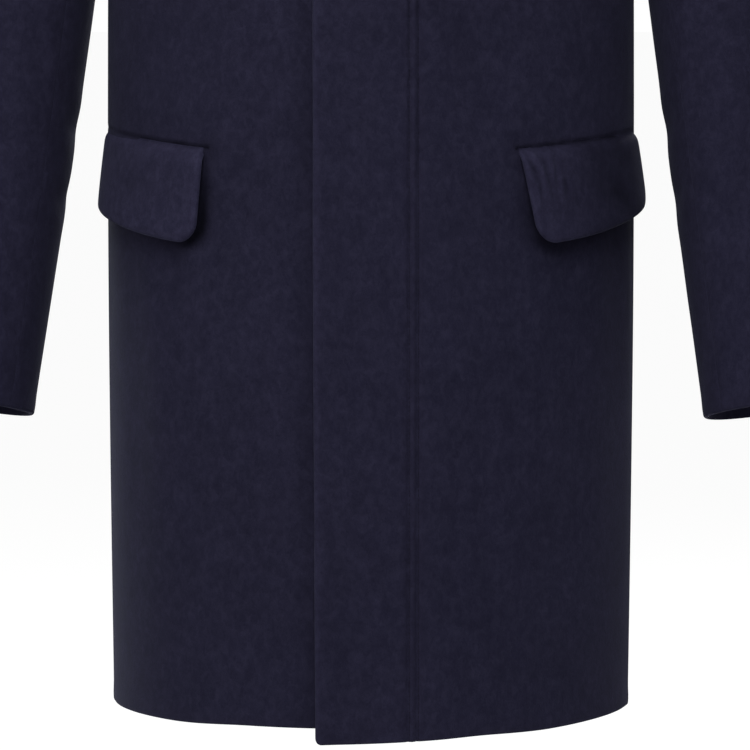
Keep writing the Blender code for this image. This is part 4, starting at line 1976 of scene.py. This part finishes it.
@dataclass(frozen=True)
class ThreadFinish:
    """Dark sewing thread with a slight twist."""

    dark: Colour = (0.0050, 0.0047, 0.0100)
    light: Colour = (0.0105, 0.0098, 0.0200)
    roughness: float = 0.80
    specular: float = 0.06
    twist: NoisePattern = NoisePattern(2600.0, 1.0)
    twist_range: Pair = (0.35, 0.65)
    twist_roughness: float = 0.2

    def material(self, name: str) -> bpy.types.Material:
        """The thread as a material.

        Args:
            name: The material's name.

        Returns:
            The material.
        """
        material, book = new_material(name)
        twist = book.noise(book.coordinates(), self.twist)
        shader = book.node("ShaderNodeBsdfPrincipled", {}, {
            "Base Color": book.blend(book.spread(twist, self.twist_range), self.dark, self.light),
            "Roughness": twist * self.twist_roughness + self.roughness,
            "Metallic": 0.0, "Specular IOR Level": self.specular,
        })
        book.node("ShaderNodeOutputMaterial", {}, {"Surface": shader.outputs["BSDF"]})
        return material


@dataclass
class SoftLight:
    """A large soft lamp, aimed at a point of the coat."""

    name: str
    place: Point
    aim: Point
    size: Pair
    power: float
    colour: Colour = WHITE

    def build(self) -> None:
        """Puts the lamp in the scene."""
        data = bpy.data.lights.new(self.name, "AREA")
        data.shape, data.size, data.size_y = "RECTANGLE", *self.size
        data.energy, data.color = self.power, self.colour
        lamp = in_scene(self.name, data)
        lamp.location, lamp.rotation_euler = self.place, aimed(self.place, self.aim)


@dataclass
class Studio:
    """A pale floor, soft light and the camera.

    Attributes:
        floor_height: The floor's height, as if a wearer stood on it.
        floor_glow: How bright the floor looks, whatever light falls on it.
        floor_glow_share: How much of that there is beside the light that falls on it.
        distance: The camera's distance from the coat's middle.
        turn: How far round to the wearer's left the camera stands, in degrees.
        aim_height: The height that it looks at.
        aim_right: How far right of the coat's middle it looks.
        frame_width: The width of the picture at the coat's middle.
        sensor: The width of the camera's sensor, in millimetres.
        dome: How strong the light of the surroundings is.
    """

    floor_height: float = -1.42
    floor_radius: float = 60.0
    floor_corners: int = 64
    floor_colour: Colour = (0.93, 0.93, 0.93)
    floor_grain: NoisePattern = NoisePattern(3.0, 2.0)
    floor_roughness: Pair = (0.75, 0.85)
    floor_specular: float = 0.1
    floor_glow: float = 1.08
    floor_glow_share: float = 0.88
    distance: float = 3.5
    turn: float = 3.2
    camera_height: float = -0.360
    aim_height: float = -0.690
    aim_right: float = 0.00363
    frame_width: float = 0.5925
    sensor: float = 36.0
    dome: float = 0.09
    lights: list[SoftLight] = field(default_factory=lambda: [
        SoftLight("front_light", (0.0, -2.6, 1.6), (0.0, 0.0, -0.65), (1.5, 1.5), 70.0),
        SoftLight("high_light", (0.0, -1.6, 2.4), (0.0, 0.0, -0.65), (1.5, 1.5), 52.0),
        SoftLight("key_light", (-2.4, -1.8, 0.6), (0.0, 0.0, -0.65), (1.3, 1.8), 20.5, (1.0, 0.98, 0.93)),
        SoftLight("left_rim_light", (-2.2, 1.9, -0.8), (-0.2, 0.0, -0.75), (0.6, 1.8), 27.0,
                  (0.88, 0.96, 1.0)),
        SoftLight("right_rim_light", (2.6, 1.0, -0.9), (0.2, 0.0, -0.8), (0.6, 1.6), 4.0),
        SoftLight("back_light", (0.7, 3.2, 1.6), (0.0, 0.0, -0.5), (1.2, 1.2), 100.0),
    ])

    def floor_material(self) -> bpy.types.Material:
        """The floor's material, which looks paler than the light on it alone would make it.

        Returns:
            The material.
        """
        material, book = new_material("pale_floor")
        low, high = self.floor_roughness
        shader = book.node("ShaderNodeBsdfPrincipled", {}, {
            "Base Color": (*self.floor_colour, 1.0),
            "Roughness": book.noise(book.coordinates(), self.floor_grain) * (high - low) + low,
            "Specular IOR Level": self.floor_specular,
        })
        glow = book.node("ShaderNodeEmission", {}, {"Color": (*WHITE, 1.0), "Strength": self.floor_glow})
        mixed = book.node("ShaderNodeMixShader", {}, {
            0: book.seen() * self.floor_glow_share, 1: shader.outputs["BSDF"], 2: glow.outputs["Emission"],
        })
        book.node("ShaderNodeOutputMaterial", {}, {"Surface": mixed.outputs["Shader"]})
        return material

    def build_floor(self) -> None:
        """A round pale floor."""
        bpy.ops.object.select_all(action="DESELECT")
        bpy.ops.mesh.primitive_circle_add(vertices=self.floor_corners, radius=self.floor_radius,
                                          fill_type="NGON", location=(0.0, 0.0, self.floor_height))
        floor = bpy.context.active_object
        floor.name = "floor"
        floor.data.materials.append(self.floor_material())

    def build_surroundings(self) -> None:
        """White surroundings that give a faint, even light."""
        world = bpy.data.worlds.new("studio")
        world.use_nodes = True
        book = NodeBook(world.node_tree)
        white = {"Color": (*WHITE, 1.0), "Strength": book.seen() * (1 - self.dome) + self.dome}
        background = book.node("ShaderNodeBackground", {}, white)
        book.node("ShaderNodeOutputWorld", {}, {"Surface": background.outputs["Background"]})
        bpy.context.scene.world = world

    def build_camera(self) -> None:
        """The camera, set as the scene's own."""
        turn = math.radians(self.turn)
        data = bpy.data.cameras.new("camera")
        data.sensor_width = self.sensor
        data.lens = self.sensor * self.distance / self.frame_width
        place = (self.distance * math.sin(turn), -self.distance * math.cos(turn), self.camera_height)
        aim = (self.aim_right * math.cos(turn), self.aim_right * math.sin(turn), self.aim_height)
        camera = in_scene("camera", data)
        camera.location, camera.rotation_euler = place, aimed(place, aim)
        bpy.context.scene.camera = camera

    def build(self) -> None:
        """The whole studio."""
        bpy.context.scene.view_settings.view_transform = "Standard"
        self.build_camera()
        self.build_surroundings()
        self.build_floor()
        for light in self.lights:
            light.build()


LEFT_FRONT_CREASES = (
    Crease(0.165, 0.140, 0.150, 0.030, 0.0011, 8.0, 0.004),
    Crease(0.228, 0.300, 0.340, 0.016, 0.0007, -3.0, 0.005),
    Crease(0.105, 0.420, 0.210, 0.034, 0.0008, -6.0, -0.006),
    Crease(0.070, 0.720, 0.160, 0.022, 0.0010, 38.0, 0.006),
    Crease(0.150, 0.700, 0.130, 0.017, 0.0014, 52.0, 0.008),
    Crease(0.120, 0.850, 0.110, 0.020, 0.0010, -30.0, 0.004),
)
RIGHT_FRONT_CREASES = (
    Crease(0.120, 0.190, 0.240, 0.036, 0.0008, -5.0, 0.006),
    Crease(0.205, 0.230, 0.300, 0.018, 0.0007, 3.0, -0.004),
    Crease(0.150, 0.560, 0.180, 0.026, 0.0008, 10.0, 0.003),
    Crease(0.085, 0.735, 0.140, 0.020, 0.0011, 34.0, 0.005),
    Crease(0.165, 0.690, 0.120, 0.016, 0.0013, 55.0, 0.007),
    Crease(0.105, 0.860, 0.120, 0.022, 0.0009, -26.0, 0.004),
)
LEFT_FLAP_CREASES = (
    Crease(0.0068, 0.017, 0.028, 0.0022, 0.0011, 9.0, 0.0016),
    Crease(0.0125, 0.013, 0.018, 0.0030, -0.0012, 24.0, 0.0010),
    Crease(0.0140, 0.027, 0.036, 0.0021, 0.0013, 2.0, -0.0014),
    Crease(0.0215, 0.029, 0.034, 0.0024, 0.0013, 11.0, 0.0015),
    Crease(0.0295, 0.026, 0.042, 0.0022, 0.0012, -2.0, -0.0010),
    Crease(0.0365, 0.033, 0.028, 0.0026, 0.0008, 6.0, 0.0012),
    Crease(0.095, 0.048, 0.050, 0.0090, 0.0006, 60.0, 0.003),
)
RIGHT_FLAP_CREASES = (
    Crease(0.030, 0.024, 0.036, 0.0070, 0.0004, 12.0, 0.001),
    Crease(0.080, 0.040, 0.060, 0.0100, 0.0006, 66.0, 0.003),
)
LEFT_BACK_CREASES = (
    Crease(0.060, 0.210, 0.330, 0.028, 0.0034, 3.0, 0.006),
    Crease(0.150, 0.160, 0.250, 0.024, 0.0029, -4.0, -0.005),
    Crease(0.205, 0.420, 0.260, 0.018, 0.0020, -6.0, 0.004),
    Crease(0.110, 0.660, 0.160, 0.018, 0.0025, 62.0, 0.010),
    Crease(0.160, 0.740, 0.130, 0.015, 0.0023, 40.0, 0.008),
    Crease(0.075, 0.870, 0.140, 0.022, 0.0016, -38.0, 0.006),
)
RIGHT_BACK_CREASES = (
    Crease(0.085, 0.180, 0.290, 0.030, 0.0031, -2.0, 0.006),
    Crease(0.170, 0.220, 0.310, 0.022, 0.0027, 4.0, 0.005),
    Crease(0.215, 0.380, 0.230, 0.017, 0.0022, -5.0, -0.004),
    Crease(0.095, 0.690, 0.170, 0.019, 0.0023, 58.0, 0.009),
    Crease(0.170, 0.720, 0.110, 0.014, 0.0025, 44.0, 0.006),
    Crease(0.060, 0.880, 0.120, 0.020, 0.0016, -42.0, 0.005),
)
LEFT_TOP_SLEEVE_CREASES = (
    Crease(0.230, 0.420, 0.110, 0.013, 0.0010, 72.0, 0.010),
    Crease(0.215, 0.470, 0.130, 0.015, 0.0011, 98.0, -0.008),
    Crease(0.060, 0.440, 0.120, 0.016, 0.0030, 104.0, 0.009),
    Crease(0.140, 0.560, 0.120, 0.016, 0.0019, 63.0, 0.006),
    Crease(0.120, 0.300, 0.150, 0.020, 0.0021, 28.0, 0.006),
    Crease(0.235, 0.220, 0.130, 0.014, 0.0012, 20.0, 0.005),
    Crease(0.045, 0.230, 0.140, 0.016, 0.0027, -22.0, -0.006),
)
RIGHT_TOP_SLEEVE_CREASES = (
    Crease(0.225, 0.440, 0.120, 0.014, 0.0010, 80.0, 0.009),
    Crease(0.220, 0.400, 0.090, 0.011, 0.0008, 66.0, 0.006),
    Crease(0.070, 0.470, 0.130, 0.017, 0.0030, 96.0, -0.008),
    Crease(0.150, 0.580, 0.100, 0.014, 0.0019, 112.0, 0.005),
    Crease(0.130, 0.290, 0.140, 0.019, 0.0021, -24.0, 0.005),
    Crease(0.240, 0.240, 0.120, 0.013, 0.0012, 17.0, 0.005),
    Crease(0.050, 0.210, 0.150, 0.017, 0.0027, -18.0, -0.005),
)
UNDER_SLEEVE_CREASES = (
    Crease(0.050, 0.230, 0.090, 0.012, 0.0009, 84.0, 0.006),
    Crease(0.045, 0.275, 0.080, 0.011, 0.0008, 101.0, -0.005),
    Crease(0.055, 0.060, 0.090, 0.013, 0.0014, 66.0, 0.006),
)
LEFT_HOOD_CREASES = (
    Crease(0.070, 0.190, 0.140, 0.020, 0.0034, 78.0, 0.010),
    Crease(0.040, 0.120, 0.120, 0.015, 0.0025, 64.0, 0.008),
    Crease(0.230, 0.140, 0.170, 0.026, 0.0025, 20.0, 0.010),
    Crease(0.120, 0.280, 0.140, 0.022, 0.0031, 52.0, -0.008),
)
RIGHT_HOOD_CREASES = (
    Crease(0.080, 0.170, 0.150, 0.021, 0.0031, 70.0, 0.010),
    Crease(0.045, 0.240, 0.110, 0.016, 0.0027, 95.0, -0.007),
    Crease(0.220, 0.160, 0.180, 0.027, 0.0025, 14.0, 0.010),
    Crease(0.130, 0.300, 0.130, 0.020, 0.0028, 47.0, 0.008),
)


def coat_panels(cut: CoatCut) -> list[tuple[ClothPanel, list[str]]]:
    """Every cut piece of the coat, with what it hangs from or lies on.

    Args:
        cut: The coat's shared sizes.

    Returns:
        The pieces in the order that they are built.
    """
    left_flap = PocketFlap(
        cut, Side.LEFT, flat=(0.170, 0.095), area=0.0150, creases=LEFT_FLAP_CREASES, seed=2.15, slant=4.4,
        inner_taper=0.008, outer_rise=0.016, top_corner=0.0008, lift=0.0108, lift_bow=0.75, puff=0.0040,
        light=(0.34, -0.38), painted_inner_shade=(0.34, 0.0110), painted_bottom_shadow=(0.55, 0.0060))
    right_flap = PocketFlap(
        cut, Side.RIGHT, flat=(0.170, 0.095), area=0.0150, creases=RIGHT_FLAP_CREASES, seed=3.42, slant=4.8,
        light=(0.42, 0.32))
    left_front = FrontPanel(
        cut, Side.LEFT, flat=(0.360, 1.010), area=0.285, creases=LEFT_FRONT_CREASES, seed=0.31,
        hem_shift=-0.0084, flap=left_flap)
    right_front = FrontPanel(
        cut, Side.RIGHT, flat=(0.360, 1.000), area=0.282, creases=RIGHT_FRONT_CREASES, seed=1.27,
        hem_shift=0.003, flap=right_flap)
    panels: list[tuple[ClothPanel, list[str]]] = [
        (left_front, ["front_right_lower", "back_left_upper"]),
        (right_front, ["back_right_upper"]),
        (left_flap, ["front_left_lower"]),
        (right_flap, ["front_right_lower"]),
    ]
    sides = (
        (Side.LEFT, LEFT_BACK_CREASES, LEFT_TOP_SLEEVE_CREASES, LEFT_HOOD_CREASES, 0.0),
        (Side.RIGHT, RIGHT_BACK_CREASES, RIGHT_TOP_SLEEVE_CREASES, RIGHT_HOOD_CREASES, 0.5),
    )
    for side, back, top, hood, shift in sides:
        name = side.name.lower()
        body = [f"front_{name}_upper", f"back_{name}_upper"]
        back_half = BackPanel(
            cut, side, flat=(0.295, 1.030), area=0.260, creases=back, seed=4.11 + shift)
        top_sleeve = SleevePanel(
            cut, side, flat=(0.340, 0.720), area=0.180, creases=top, seed=5.23 + shift)
        under_sleeve = SleevePanel(
            cut, side, flat=(0.150, 0.530), area=0.060, creases=UNDER_SLEEVE_CREASES, seed=6.37 + shift,
            piece=SleeveCut.UNDER)
        hood_half = HoodHalf(
            cut, side, flat=(0.400, 0.370), area=0.110, creases=hood, seed=7.29 + shift)
        panels += [(back_half, body[:1]), (top_sleeve, body), (under_sleeve, body), (hood_half, body)]
    return panels


def build_coat() -> None:
    """Builds and dresses every piece of the coat."""
    wool, thread, stitching = WoolFinish(), ThreadFinish(), FlyStitches()
    for panel, rests_on in coat_panels(CoatCut()):
        piece = panel.build()
        trims = []
        if isinstance(panel, FrontPanel) and panel.side is Side.LEFT:
            rows = [panel.stitch_path(place) for place in panel.fly_lines]
            stitches = stitching.build("fly_stitches", rows)
            stitching.dress(stitches, thread)
            trims.append(stitches)
            log.info("%s: %d faces", stitches.name, len(stitches.data.polygons))
        panel.dress(piece, wool, rests_on, trims)
        log.info("%s: %d faces", piece.name, len(piece.data.polygons))


def main() -> None:
    """Builds the studio and the coat."""
    logging.basicConfig(level=logging.INFO, format="%(name)s %(message)s")
    Studio().build()
    build_coat()
    log.info("%d solids dressed", len(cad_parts))


if __name__ == "__main__":
    main()
